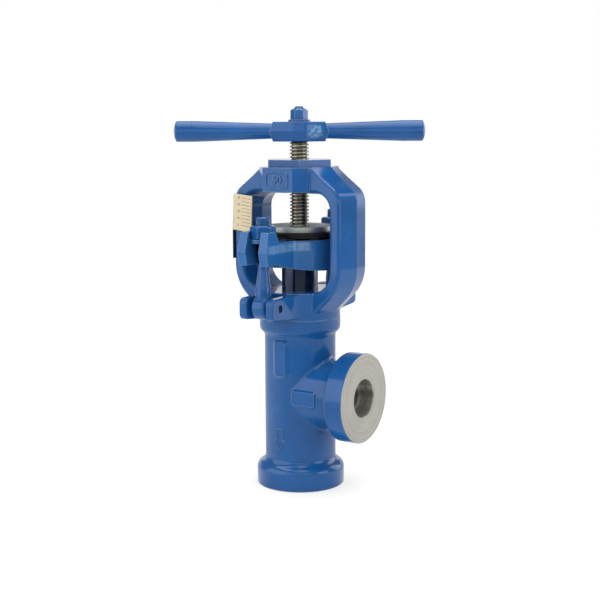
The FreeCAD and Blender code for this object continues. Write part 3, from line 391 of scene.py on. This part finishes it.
class Surface(Nodes):
    """A material of one shader. Its coordinates are the part's own, in metres."""

    def __init__(self, name):
        self.mat = bpy.data.materials.new(name)
        self.mat.use_nodes = True
        super().__init__(self.mat.node_tree, "Object")
        self.bsdf = self.add("ShaderNodeBsdfPrincipled")
        self.feed(self.add("ShaderNodeOutputMaterial").inputs[0], self.bsdf.outputs[0])

    def set(self, **values):
        """Feed the shader's sockets, which are named with underscores for their spaces."""
        for key, value in values.items():
            self.feed(self.bsdf.inputs[key.replace("_", " ")], value)

    def bump(self, height, strength, depth, normal=None):
        """A bumpy normal. The depth is in mm."""
        node = self.add("ShaderNodeBump")
        node.inputs["Strength"].default_value = strength
        node.inputs["Distance"].default_value = depth * MM
        self.feed(node.inputs["Height"], height)
        if normal is not None:
            self.feed(node.inputs["Normal"], normal)
        return node.outputs[0]

    def soft_edges(self, radius):
        """A normal that rounds the edges, with its radius in mm."""
        node = self.add("ShaderNodeBevel", samples=6)
        node.inputs["Radius"].default_value = radius * MM
        return node.outputs[0]

    def edge_mask(self):
        """About 1 near sharp edges, 0 elsewhere."""
        turned = self.add("ShaderNodeVectorMath", operation="DOT_PRODUCT")
        self.feed(turned.inputs[0], self.soft_edges(EDGE_RADIUS))
        self.feed(turned.inputs[1], self.add("ShaderNodeNewGeometry").outputs["Normal"])
        return self.ramp(self.math("SUBTRACT", 1.0, turned.outputs["Value"]), *EDGE_TURN)


def rubbed_facet(m):
    """Mask of a blotchy pale patch of painted reflection on the front of the handle's hub."""
    x, y, z = m.split()
    patch = m.times(
        m.window(m.along(x, y, HANDLE_DEG), *HUB_PATCH_ALONG),
        m.window(z, *HUB_PATCH_UP),
        m.fade(m.along(x, y, HANDLE_DEG - 90.0), *HUB_PATCH_OUT),
    )
    return m.times(patch, m.ramp(m.noise(scale=230.0, detail=3.0, rough=0.6), 0.34, 0.62))


def dusty_shoulder(m):
    """Mask of a pale patch of painted reflection on the upper half of the gland's front."""
    x, y, z = m.split()
    band = m.times(
        m.window(m.along(x, y, HANDLE_DEG), *GLAND_BAND_ALONG),
        m.window(z, *GLAND_BAND_UP),
        m.fade(y, *GLAND_BAND_FRONT),
    )
    return m.times(band, m.ramp(m.noise(scale=120.0, detail=3.0, rough=0.6), 0.28, 0.6, 0.25, 0.55))


def inlet_wall(m, x, z, from_axis):
    """Colour of the inlet bore's wall: level bands, with painted shade above and below and at its
    step.
    """
    bands = m.ramp(m.noise(scale=75.0, detail=2.0, rough=0.5, vector=m.combine(z)), 0.35, 0.65)
    tone = m.mix(bands, *BORE_STEEL)
    dark = m.fade(m.math("ABSOLUTE", from_axis), *INLET_WALL_DARK, 0.0, WALL_DARK_SHARE)
    tone = m.mix(dark, tone, BORE_SHADE)
    return m.mix(m.times(m.window(x, *INLET_STEP), STEP_SHARE), tone, BORE_STEP_SHADE)


def machined_faces(m):
    """Mask, colour, roughness, normal and metal share of the body's turned faces and bores."""
    x, y, z = m.split()
    from_axis = m.math("SUBTRACT", z, INLET_Z * MM)
    inlet_r = m.hypot(y, from_axis)
    stem_r = m.hypot(x, y)
    on_face = m.fade(x, *INLET_FACE)
    in_bore = m.times(m.fade(inlet_r, *INLET_BORE_R), m.fade(x, *INLET_BORE_X))
    on_foot = m.fade(z, *OUTLET_FACE)
    in_chamber = m.fade(stem_r, *CHAMBER_R)
    on_neck = m.times(m.fade(z, *NECK_FACE), m.fade(stem_r, *NECK_R))
    mask = m.math("MAXIMUM", on_face, in_bore, on_foot, in_chamber, on_neck)

    turned = m.combine(inlet_r, m.times(x, 0.35))
    rings = m.noise(scale=1500.0, detail=3.0, rough=0.7, vector=turned)
    smear = m.noise(scale=38.0, detail=4.0, rough=0.6)
    blotch = m.noise(scale=9.0, detail=3.0, rough=0.5)
    tone = m.mix(m.spread(rings), *FACE_STEEL)
    tone = m.mix(m.ramp(smear, 0.35, 0.7, 0.0, SMEAR_SHARE), tone, FACE_SMEAR)
    tone = m.mix(m.ramp(blotch, 0.45, 0.75, 0.0, BLOTCH_SHARE), tone, FACE_BLOTCH)
    wall = m.times(in_bore, m.fade(x, *INLET_WALL), m.math("SUBTRACT", 1.0, on_face))
    tone = m.mix(m.times(wall, WALL_SHARE), tone, inlet_wall(m, x, z, from_axis))
    metallic = m.math("SUBTRACT", mask, m.times(wall, WALL_DULL))
    normal = m.bump(rings, strength=0.25, depth=0.08, normal=m.soft_edges(0.6))
    return mask, tone, m.spread(rings, 0.34, 0.5), normal, metallic


def oiled_thread(m):
    """The same five of a gland bolt's bare thread below its nut, dark along its stretch in the
    gland's slot.
    """
    mask = m.window(m.split()[2], *BOLT_DARK_THREAD)
    marks = m.noise(scale=700.0, detail=3.0, rough=0.6)
    tone = m.mix(m.spread(marks), *DARK_THREAD_STEEL)
    return mask, tone, 0.4, m.bump(marks, strength=0.2, depth=0.06), mask


def paint(name, tones=BLUE, grain=0.35, edge_highlight=0.5, bare=None, painted_sheen=None):
    """Glossy paint over a forging, with a painted highlight paling its edges.

    `grain` is the depth of the fine bumps, and the next argument how pale the painted edge
    highlight is. `bare` builds the look of machined faces left unpainted, and the last argument the
    mask of a pale patch of painted reflection.
    """
    m = Surface(name)
    clouds = m.noise(scale=18.0, detail=3.0, rough=0.6)
    fine = m.noise(scale=260.0, detail=3.0, rough=0.55)
    grit = m.noise(scale=900.0, detail=2.0, rough=0.6)
    tone = m.mix(m.spread(clouds), *tones)
    # Painted highlight: a paler tone along the edges
    tone = m.mix(m.times(m.edge_mask(), m.ramp(fine, 0.2, 0.5), edge_highlight), tone, EDGE_HIGHLIGHT)
    # Painted reflection: a pale patch where a lamp would be mirrored
    if painted_sheen:
        tone = m.mix(m.times(painted_sheen(m), SHEEN_SHARE), tone, SHEEN_TONE)
    normal = m.bump(clouds, strength=0.22, depth=1.6, normal=m.soft_edges(2.7))
    normal = m.bump(fine, strength=grain * 0.4, depth=0.3, normal=normal)
    normal = m.bump(grit, strength=grain * 0.08, depth=0.1, normal=normal)
    rough = m.spread(fine, 0.2, 0.28)
    if bare:
        mask, bare_tone, bare_rough, bare_normal, metallic = bare(m)
        tone = m.mix(mask, tone, bare_tone)
        rough = m.mix(mask, rough, bare_rough, "FLOAT")
        normal = m.mix(mask, normal, bare_normal, "VECTOR")
        m.set(Metallic=metallic)
    m.set(Base_Color=tone, Roughness=rough, Normal=normal, Specular_IOR_Level=0.15,
          Coat_Weight=0.7, Coat_Roughness=0.06)
    return m.mat


def stem_finish(m, tone):
    """Colour and metal share of the stem: painted shade in its thread roots, and paint on its top
    stud.
    """
    x, y, z = m.split()
    tone = m.mix(m.fade(m.hypot(x, y), *STEM_ROOT_SHADE, 0.0, ROOT_SHADE_SHARE), tone, THREAD_ROOT_SHADE)
    painted = m.fade(z, *STEM_PAINTED)
    return m.mix(painted, tone, BLUE[1]), m.math("SUBTRACT", 1.0, painted)


def steel(name, tones, rough=(0.25, 0.4), dirt=0.0, finish=None):
    """Bare turned metal: fine marks drawn out round the axis, and stains by the share `dirt`."""
    m = Surface(name)
    mapping = m.add("ShaderNodeMapping")
    mapping.inputs["Scale"].default_value = (1.0, 1.0, 8.0)
    m.feed(mapping.inputs["Vector"], m.coords)
    marks = m.noise(scale=600.0, detail=3.0, rough=0.6, vector=mapping.outputs[0])
    tone = m.mix(m.spread(marks), *tones)
    metallic = 1.0
    if dirt:
        stains = m.noise(scale=60.0, detail=4.0, rough=0.65)
        tone = m.mix(m.ramp(stains, 0.42, 0.68, 0.0, dirt), tone, STEEL_STAIN)
    if finish:
        tone, metallic = finish(m, tone)
    m.set(Base_Color=tone, Roughness=m.spread(marks, *rough), Metallic=metallic,
          Normal=m.bump(marks, strength=0.2, depth=0.06, normal=m.soft_edges(0.4)))
    return m.mat


def zinc_disc():
    """Zinc-plated disc, turned, with rings and cloudy passivation."""
    m = Surface("disc_zinc")
    x, y, z = m.split()
    turned = m.combine(m.hypot(x, y), m.times(z, 0.5))
    rings = m.noise(scale=1300.0, detail=3.0, rough=0.6, vector=turned)
    clouds = m.noise(scale=45.0, detail=4.0, rough=0.6)
    tone = m.mix(m.spread(rings), *ZINC)
    tone = m.mix(m.ramp(clouds, 0.4, 0.7, 0.0, CLOUD_SHARE), tone, ZINC_CLOUD)
    m.set(Base_Color=tone, Roughness=m.spread(clouds, 0.45, 0.55), Metallic=1.0,
          Normal=m.bump(rings, strength=0.2, depth=0.05, normal=m.soft_edges(0.4)))
    return m.mat


def coated(name, tones, rough, coat=0.0, grain=500.0, metallic=0.0, shine=0.5):
    """Blackened, printed or moulded finishes."""
    m = Surface(name)
    marks = m.noise(scale=grain, detail=3.0, rough=0.6)
    clouds = m.noise(scale=30.0, detail=3.0, rough=0.55)
    m.set(Base_Color=m.mix(m.spread(clouds), *tones), Metallic=metallic,
          Roughness=m.spread(marks, rough * 0.8, rough * 1.2),
          Normal=m.bump(marks, strength=0.15, depth=0.1, normal=m.soft_edges(0.5)),
          Specular_IOR_Level=shine, Coat_Weight=coat, Coat_Roughness=0.08)
    return m.mat


def bracket_sheet():
    """Matt black sheet, with its wing behind the scale in a beige like the scale's."""
    m = Surface("bracket_sheet")
    marks = m.noise(scale=300.0, detail=3.0, rough=0.6)
    wing = m.fade(m.split()[2], *SCALE_WING)
    shade = m.spread(marks)
    m.set(Base_Color=m.mix(wing, m.mix(shade, *SHEET_BLACK), m.mix(shade, *SHEET_BEIGE)),
          Roughness=m.spread(marks, 0.42, 0.55),
          Normal=m.bump(marks, strength=0.15, depth=0.1, normal=m.soft_edges(0.5)))
    return m.mat


MAT = {
    "blue_paint": paint("blue_paint"),
    "bolt_paint": paint("blue_paint_bolt", edge_highlight=0.1, bare=oiled_thread),
    "bracket_sheet": bracket_sheet(),
    "body_paint": paint("blue_paint_body", bare=machined_faces),
    "gland_paint": paint("blue_paint_gland_lit", GLAND_BLUE_LIT, painted_sheen=dusty_shoulder),
    "cast_paint": paint("blue_paint_cast", grain=0.9, painted_sheen=rubbed_facet),
    "pin_steel": coated("pin_dark", PIN_SHADE_BLUE, 0.4, shine=0.3),
    "black_steel": coated("black_steel", BLACK, 0.5, shine=0.2),
    "stem_steel": steel("stem_steel", STEM_STEEL, (0.24, 0.4), dirt=0.5, finish=stem_finish),
    "disc_steel": zinc_disc(),
    "gland_steel": coated("gland_dark", SLEEVE_REFLECTED_BLUE, 0.18, coat=0.5, metallic=0.55),
    "trim_steel": steel("trim_steel", TRIM_STEEL),
    "bronze": steel("bronze", BRONZE),
    "graphite": coated("graphite", GRAPHITE, 0.6, metallic=0.2),
    "scale_face": coated("scale_face", SCALE_BEIGE, 0.42, grain=300.0),
    "scale_ink": coated("scale_ink", SCALE_INK, 0.5),
}

# Nodes whose material isn't the one named after their slot
NODE_MATERIAL = {
    "valve_body": "body_paint",
    "handle": "cast_paint",
    "gland_flange": "gland_paint",
    "scale_bracket": "bracket_sheet",
}


def dress_nodes():
    """Give each CAD node its material."""
    for row in frame["record"]["subparts"]:
        name = row["node"]
        materials = NODES[name].data.materials
        materials.clear()
        materials.append(MAT[NODE_MATERIAL.get(name, row["material_slot"])])


def new_object(name, data):
    obj = bpy.data.objects.new(name, data)
    bpy.context.scene.collection.objects.link(obj)
    return obj


def new_piece(name, bm, body, material):
    """A mesh piece from a bmesh, shaded smooth below an angle, riding on a body."""
    mesh = bpy.data.meshes.new(name)
    bm.normal_update()
    bm.to_mesh(mesh)
    bm.free()
    piece = new_object(name, mesh)
    mesh.shade_smooth()
    mesh.set_sharp_from_angle(angle=math.radians(SMOOTH_DEG))
    mesh.materials.append(material)
    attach(piece, body)
    return piece


def join_bmesh(target, source, matrix):
    """Move a bmesh and add it to another one."""
    spare = bpy.data.meshes.new("spare")
    bmesh.ops.transform(source, matrix=matrix, verts=source.verts)
    source.to_mesh(spare)
    source.free()
    target.from_mesh(spare)
    bpy.data.meshes.remove(spare)


def ring(bm, row):
    """Vertices round the Z axis, one for each (radius, height) in mm."""
    verts = []
    for i, (r, z) in enumerate(row):
        a = 2 * math.pi * i / len(row)
        verts.append(bm.verts.new((r * MM * math.cos(a), r * MM * math.sin(a), z * MM)))
    return verts


def bridge(bm, a, b):
    """A closed band of faces between two rings of vertices."""
    for i in range(len(a)):
        k = (i + 1) % len(a)
        bm.faces.new((a[i], a[k], b[k], b[i]))


def lathe(sections):
    """A closed skin of rings about +Z, from sections of rows of (radius, height) in mm.

    A section's columns may follow a helix. Its rows then don't close on themselves, and the
    seam joins a row's end to the start of the row that lies `shift` rows further up.
    """
    bm = bmesh.new()
    last = None
    for rows, shift in sections:
        grid = [ring(bm, row) for row in rows]
        end = len(rows[0]) - 1
        for j in range(len(grid) - 1):
            low, high = grid[j], grid[j + 1]
            for i in range(end):
                bm.faces.new((low[i], low[i + 1], high[i + 1], high[i]))
            if j + 1 + shift < len(grid):
                bm.faces.new((low[end], grid[j + shift][0], grid[j + 1 + shift][0], high[end]))
        if last:
            bridge(bm, last, grid[0])
        else:
            bm.faces.new(grid[0][::-1])
        last = grid[-1]
    bm.faces.new(last)
    bmesh.ops.remove_doubles(bm, verts=bm.verts, dist=SKIN_WELD)
    bmesh.ops.dissolve_degenerate(bm, dist=SKIN_WELD, edges=bm.edges)
    bmesh.ops.recalc_face_normals(bm, faces=bm.faces)
    return bm


def plain_rows(segs, points):
    """A section of plain rings."""
    return [[(max(r, POLE_R), z)] * segs for r, z in points], 0


def thread_height(share, form):
    """Height of a thread, 0 at its root and 1 at its crest, at a share of the pitch."""
    crest, flank = form
    root = 1.0 - crest - 2 * flank
    share %= 1.0
    if share < root:
        return 0.0
    if share < root + flank:
        return (share - root) / flank
    if share < root + flank + crest:
        return 1.0
    return (1.0 - share) / flank


def thread_rows(segs, z0, z1, r_root, r_crest, pitch, form):
    """A section with a right-hand thread that grows over its first turn and runs out at its top."""
    crest, flank = form
    root = 1.0 - crest - 2 * flank
    shares = (0.0, root * 0.5, root, root + flank * 0.5, root + flank, root + flank + crest,
              1.0 - flank * 0.5)
    rows = []
    for turn in range(-1, math.ceil((z1 - z0) / pitch) + 2):
        for share in shares:
            row = []
            for i in range(segs):
                z = z0 + pitch * (turn + share + i / segs)
                held = min(max(z, z0), z1)
                phase = (held - z0) / pitch - i / segs
                fade = min(1.0, (held - z0) / pitch, (z1 - held) / (pitch * RUN_OUT))
                height = thread_height(phase, form) * max(fade, 0.0)
                row.append((r_root + (r_crest - r_root) * height, held))
            rows.append(row)
    return rows, len(shares)


def drive_rows(segs):
    """A section with the stem's square drive, whose corners lie on the stem's circle."""
    radii = []
    for i in range(segs):
        a = 2 * math.pi * i / segs - math.radians(HANDLE_DEG)
        radii.append(min(STEM_R, DRIVE_HALF / max(abs(math.cos(a)), abs(math.sin(a)))))
    return [[(r, z) for r in radii] for z in (STEM_THREAD_TOP, DRIVE_TOP)], 0


def build_stem():
    """The stem with its threads cut, in place of its plain solid."""
    segs = STEM_SEGS
    cone = ((STEM_R, STEM_THREAD_LOW - STEM_CONE), (STEM_ROOT_R, STEM_THREAD_LOW))
    stud_low = DRIVE_TOP + STUD_NECK
    stud_high = STUD_TOP - STUD_TIP
    tip = ((STUD_ROOT_R, stud_high), (STUD_ROOT_R - STUD_TIP_IN, STUD_TOP))
    sections = (
        plain_rows(segs, STEM_FOOT + cone),
        thread_rows(segs, STEM_THREAD_LOW, STEM_THREAD_TOP, STEM_ROOT_R, STEM_R, STEM_PITCH,
                    TRAPEZOID),
        drive_rows(segs),
        plain_rows(segs, ((STUD_ROOT_R, DRIVE_TOP), (STUD_ROOT_R, stud_low))),
        thread_rows(segs, stud_low, stud_high, STUD_ROOT_R, STUD_R, STUD_PITCH, STUD_FORM),
        plain_rows(segs, tip),
    )
    piece = new_piece("stem_threaded", lathe(sections), "stem", MAT["stem_steel"])
    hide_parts("stem")


def build_bolt(node, side):
    """The node's eye and neck, with a threaded stud in place of its plain one."""
    bm = bmesh.new()
    bm.from_mesh(NODES[node].data)
    cut = bmesh.ops.bisect_plane(bm, geom=bm.verts[:] + bm.edges[:] + bm.faces[:],
                                 dist=CUT_TOLERANCE, plane_co=(0, 0, BOLT_CUT_Z * MM),
                                 plane_no=(0, 0, 1), clear_outer=True)
    rim = [e for e in cut["geom_cut"] if isinstance(e, bmesh.types.BMEdge)]
    bmesh.ops.holes_fill(bm, edges=rim, sides=0)
    high = BOLT_TOP - BOLT_TIP
    stud = lathe((
        plain_rows(BOLT_SEGS, ((BOLT_NECK_R, BOLT_CUT_Z),)),
        thread_rows(BOLT_SEGS, BOLT_CUT_Z, high, BOLT_ROOT_R, BOLT_R, BOLT_PITCH, BOLT_FORM),
        plain_rows(BOLT_SEGS, ((BOLT_ROOT_R, high), (BOLT_ROOT_R - BOLT_TIP_IN, BOLT_TOP))),
    ))
    join_bmesh(bm, stud, Matrix.Translation((0, side * BOLT_Y * MM, 0)))
    piece = new_piece(node + "_threaded", bm, "valve", MAT["bolt_paint"])
    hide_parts(node)


def turned_ring(profile):
    """A ring turned from a closed (radius, height) profile in mm."""
    bm = bmesh.new()
    rings = [ring(bm, [point] * INDICATOR_SEGS) for point in profile]
    for k, row in enumerate(rings):
        bridge(bm, row, rings[(k + 1) % len(rings)])
    bmesh.ops.recalc_face_normals(bm, faces=bm.faces)
    return bm


def build_indicator():
    """The disc and the black cup under it, each a little deeper than its plain solid. The cup's
    skirt reaches down into the gap above the gland, a dark sheet that stands in for the shade
    there.
    """
    disc = (
        (STEM_BORE_R, DISC_LOW), (DISC_R - DISC_EDGE, DISC_LOW),
        (DISC_R, DISC_LOW + DISC_EDGE), (DISC_R, DISC_TOP - DISC_EDGE),
        (DISC_R - DISC_EDGE, DISC_TOP), (STEM_BORE_R, DISC_TOP),
    )
    piece = new_piece("indicator_disc_turned", turned_ring(disc), "stem",
                      MAT["disc_steel"])
    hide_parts("indicator_disc")
    roof = DISC_LOW - CUP_T
    cup = (
        (STEM_BORE_R, COLLAR_LOW), (COLLAR_R, COLLAR_LOW), (COLLAR_R, roof),
        (CUP_R - CUP_T, roof), (CUP_R - CUP_T, CUP_LOW), (CUP_R, CUP_LOW),
        (CUP_R, DISC_LOW), (STEM_BORE_R, DISC_LOW),
    )
    piece = new_piece("indicator_collar_cup", turned_ring(cup), "stem",
                      MAT["black_steel"])
    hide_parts("indicator_collar")


def ridge(bm, points, half, height, place):
    """A low rounded ridge along a closed flat path.

    `place` turns the path's two coordinates and the rise above it into a point, all in mm.
    """
    side, shoulder, inner = height * 0.3, height * 0.9, half * 0.5
    section = (
        (-half, -RIDGE_SINK), (-half, side), (-inner, shoulder), (0.0, height),
        (inner, shoulder), (half, side), (half, -RIDGE_SINK),
    )
    rings = []
    for k, point in enumerate(points):
        here = Vector(point)
        come = (here - Vector(points[k - 1])).normalized()
        go = (Vector(points[(k + 1) % len(points)]) - here).normalized()
        way = (come + go).normalized()
        normal = Vector((-way.y, way.x)) / max(MITRE_LIMIT, way.dot(come))
        rings.append([
            bm.verts.new(Vector(place(point[0] + normal.x * s, point[1] + normal.y * s, h)) * MM)
            for s, h in section
        ])
    for k, row in enumerate(rings):
        bridge(bm, row, rings[(k + 1) % len(rings)])


def rounded_rectangle(half_w, half_h, r):
    points = []
    for cx, cy, start in ((1, 1, 0), (-1, 1, 90), (-1, -1, 180), (1, -1, 270)):
        for k in range(CORNER_STEPS + 1):
            a = math.radians(start + 90.0 * k / CORNER_STEPS)
            points.append((cx * (half_w - r) + r * math.cos(a),
                           cy * (half_h - r) + r * math.sin(a)))
    return points


def text_mesh(body, size, depth):
    """A bmesh of raised plain figures, centred, in metres, facing +Z."""
    curve = bpy.data.curves.new("figures", "FONT")
    curve.body = body
    curve.size = size * MM
    curve.extrude = depth * MM / 2
    curve.bevel_depth = depth * MM * FIGURE_BEVEL
    curve.bevel_resolution = 1
    curve.align_x = "CENTER"
    curve.align_y = "CENTER"
    curve.resolution_u = 4
    obj = new_object("figures", curve)
    bpy.context.view_layer.update()
    shaped = obj.evaluated_get(bpy.context.evaluated_depsgraph_get())
    mesh = bpy.data.meshes.new_from_object(shaped)
    bm = bmesh.new()
    bm.from_mesh(mesh)
    bmesh.ops.remove_doubles(bm, verts=bm.verts, dist=FIGURE_WELD)
    bpy.data.objects.remove(obj)
    bpy.data.curves.remove(curve)
    bpy.data.meshes.remove(mesh)
    return bm


def build_hub_frame():
    """Raised rounded frame with a plain size figure on the hub's front flat."""
    middle_x, middle_z = HUB_MIDDLE

    def on_hub(u, v, rise):
        return (middle_x + u, -HUB_FRONT - rise, middle_z + v)

    bm = bmesh.new()
    ridge(bm, rounded_rectangle(*HUB_FRAME), *HUB_RIDGE, on_hub)
    stand = Matrix.Translation(Vector((middle_x, -(HUB_FRONT + HUB_FIGURE_LIFT), middle_z)) * MM)
    figure = text_mesh(HUB_FIGURE, HUB_FIGURE_SIZE, HUB_FIGURE_DEPTH)
    join_bmesh(bm, figure, stand @ Matrix.Rotation(math.radians(90), 4, "X"))
    new_piece("hub_size_figure", bm, "valve", MAT["blue_paint"])


def build_arrow():
    """Flow arrow, a low raised outline on the barrel, pointing to the outlet."""
    def on_barrel(u, v, rise):
        a = math.radians(ARROW_DEG) + u / BARREL_R
        r = BARREL_R + rise
        return (r * math.cos(a), r * math.sin(a), v)

    corners = (
        (-ARROW_HALF, ARROW_TOP), (ARROW_HALF, ARROW_TOP), (ARROW_HALF, ARROW_NECK),
        (ARROW_HEAD, ARROW_NECK), (0.0, ARROW_TIP), (-ARROW_HEAD, ARROW_NECK),
        (-ARROW_HALF, ARROW_NECK),
    )
    points = []
    for k, a in enumerate(corners):
        b = corners[(k + 1) % len(corners)]
        for t in range(ARROW_STEPS):
            points.append((a[0] + (b[0] - a[0]) * t / ARROW_STEPS,
                           a[1] + (b[1] - a[1]) * t / ARROW_STEPS))
    bm = bmesh.new()
    ridge(bm, points, *ARROW_RIDGE, on_barrel)
    new_piece("flow_arrow", bm, "valve", MAT["blue_paint"])


def scale_place():
    """Matrix of the scale plate's front face: X along the plate, Y up, Z out, in metres."""
    front = Vector((-ARM_FACE, -YOKE_DEPTH, 0))
    rearward = (Vector((-ARM_RIDGE, 0, 0)) - front).normalized()
    turn = math.radians(-SCALE_TURN)
    way = Vector((math.cos(turn), math.sin(turn), 0))
    ahead = Vector((way.y, -way.x, 0))
    place = (front - rearward * SCALE_BEND_OUT + ahead * SCALE_LEG_T
             + way * (SCALE_INSET + SCALE_W / 2))
    place.z = SCALE_MID_Z
    tilt = Matrix.Rotation(turn, 4, "Z") @ Matrix.Rotation(math.radians(SCALE_TILT), 4, "Y")
    upright = Matrix.Rotation(math.radians(90), 4, "X")
    return (Matrix.Translation(place * MM) @ tilt
            @ Matrix.Translation((0, -SCALE_T * MM, 0)) @ upright)


def build_scale_marks():
    """Lines and figures of the travel in mm, a thin print on the plate."""
    bm = bmesh.new()
    low = DISC_TOP - SCALE_MID_Z
    for k in range(0, LIFT + 1, LINE_STEP):
        start = LINE_START if k % FIGURE_STEP else LONG_LINE_START
        line = bmesh.ops.create_cube(bm, size=1.0)["verts"]
        size = Vector((LINE_END - start, LINE_W, PRINT_T))
        middle = Vector(((start + LINE_END) / 2, low + k, 0))
        bmesh.ops.scale(bm, verts=line, vec=size * MM)
        bmesh.ops.translate(bm, verts=line, vec=middle * MM)
    for k in range(0, LIFT + 1, FIGURE_STEP):
        middle = Vector((SCALE_FIGURE_U, low + k, 0))
        figure = text_mesh(str(k), SCALE_FIGURE_SIZE, PRINT_T)
        join_bmesh(bm, figure, Matrix.Translation(middle * MM))
    bmesh.ops.transform(bm, matrix=scale_place(), verts=bm.verts)
    new_piece("scale_marks", bm, "valve", MAT["scale_ink"])


def direction(azimuth, elevation):
    """Unit vector outward, for an azimuth from the front (-Y) to the right, in degrees."""
    a, e = math.radians(azimuth), math.radians(elevation)
    return Vector((math.sin(a) * math.cos(e), -math.cos(a) * math.cos(e), math.sin(e)))


def build_camera():
    data = bpy.data.cameras.new("camera")
    data.lens = CAM_LENS
    data.sensor_width = CAM_SENSOR
    data.clip_end = CAM_CLIP_END
    obj = new_object("camera", data)
    obj.location = CAM_DISTANCE * direction(CAM_AZIMUTH, 0.0) + Vector((0, 0, CAM_HEIGHT))
    level = (-direction(CAM_AZIMUTH, CAM_PITCH)).to_track_quat("-Z", "Y").to_matrix()
    obj.rotation_euler = (level @ Matrix.Rotation(math.radians(CAM_ROLL), 3, "Z")).to_euler()
    bpy.context.scene.camera = obj


def softbox(name, azimuth, elevation, distance, width, height, strength):
    """A rectangular lamp aimed at the yoke."""
    data = bpy.data.lights.new(name, "AREA")
    data.shape = "RECTANGLE"
    data.size = width
    data.size_y = height
    data.energy = strength * width * height * math.pi
    obj = new_object(name, data)
    out = direction(CAM_AZIMUTH + azimuth, elevation)
    obj.location = LAMP_TARGET + distance * out
    obj.rotation_euler = (LAMP_TARGET - obj.location).to_track_quat("-Z", "Y").to_euler()


def table_level(m):
    """How bright the floor glows in a reflection: painted light round the object, with a painted
    dark strip.
    """
    x, y = m.split()[:2]
    out = m.math("MAXIMUM", 0.01, m.hypot(x, y))
    across = m.math("DIVIDE", m.along(x, y, CAM_AZIMUTH), out)
    ahead = m.math("DIVIDE", m.along(x, y, CAM_AZIMUTH - 90.0), out)
    level = m.ramp(m.times(across, across), *TABLE_SIDES, *TABLE_LEVEL)
    strip = m.times(m.window(out, *TABLE_STRIP), m.ramp(ahead, *TABLE_STRIP_WIDTH))
    kept = m.math("SUBTRACT", 1.0, m.times(strip, TABLE_STRIP_SHARE))
    return m.times(level, kept, m.fade(out, *TABLE_RIM, *TABLE_RIM_LEVEL))


def build_floor():
    """Pale floor that keeps the object's shadow and melts into the white background, with a painted
    contact shadow and painted light in its glow.
    """
    bpy.ops.mesh.primitive_circle_add(vertices=FLOOR_SEGS, radius=FLOOR_R, fill_type="NGON",
                                      location=(0, 0, -FLOOR_DROP))
    floor = bpy.context.object
    floor.name = "floor"
    m = Surface("floor_pale")
    seen, reflected = m.rays()
    pale = m.mix(m.spread(m.noise(scale=40.0, detail=2.0, rough=0.5)), *FLOOR_PALE)
    # Painted contact shadow: the glow that the camera sees dims with the ambient occlusion near the
    # object
    shade = m.add("ShaderNodeAmbientOcclusion", samples=8)
    shade.inputs["Distance"].default_value = FLOOR_SHADE_REACH
    glow = m.ramp(shade.outputs["AO"], 0.35, 1.0, *FLOOR_GLOW)
    # Painted light: in reflections the floor glows with a painted pattern of light and shade
    m.set(Base_Color=m.mix(reflected, m.mix(seen, pale, FLOOR_SEEN), FLOOR_REFLECTED),
          Roughness=0.8, Specular_IOR_Level=0.0, Emission_Color=WHITE,
          Emission_Strength=m.math("ADD", m.times(seen, glow), m.times(reflected, table_level(m))))
    floor.data.materials.append(m.mat)


def build_world():
    """White to the camera, with a low white backdrop in reflections and a soft fill elsewhere."""
    world = bpy.data.worlds.new("studio")
    bpy.context.scene.world = world
    world.use_nodes = True
    w = Nodes(world.node_tree, "Generated")
    x, y, z = w.split()
    seen, reflected = w.rays()
    backdrop = w.times(reflected, w.ramp(z, *BACKDROP_TOP),
                       w.ramp(w.along(x, y, CAM_AZIMUTH + 90.0), *BACKDROP_WIDTH))
    fill = w.add("ShaderNodeBackground")
    fill.inputs["Color"].default_value = FILL_TINT
    level = w.ramp(reflected, 0.0, 1.0, WORLD_FILL, REFLECTED_FILL)
    w.feed(fill.inputs["Strength"], level)
    white = w.add("ShaderNodeBackground")
    white.inputs["Color"].default_value = WHITE
    white.inputs["Strength"].default_value = 1.0
    shown = w.add("ShaderNodeMixShader")
    w.feed(shown.inputs[0], w.math("MAXIMUM", seen, backdrop))
    w.feed(shown.inputs[1], fill.outputs[0])
    w.feed(shown.inputs[2], white.outputs[0])
    w.feed(w.add("ShaderNodeOutputWorld").inputs[0], shown.outputs[0])


dress_nodes()
build_stem()
build_bolt("swing_bolt_front", -1)
build_bolt("swing_bolt_rear", 1)
build_indicator()
build_hub_frame()
build_arrow()
build_scale_marks()

build_camera()
build_floor()
build_world()
for lamp, settings in SOFTBOXES.items():
    softbox(lamp, *settings)

bpy.context.scene.view_settings.view_transform = "Standard"
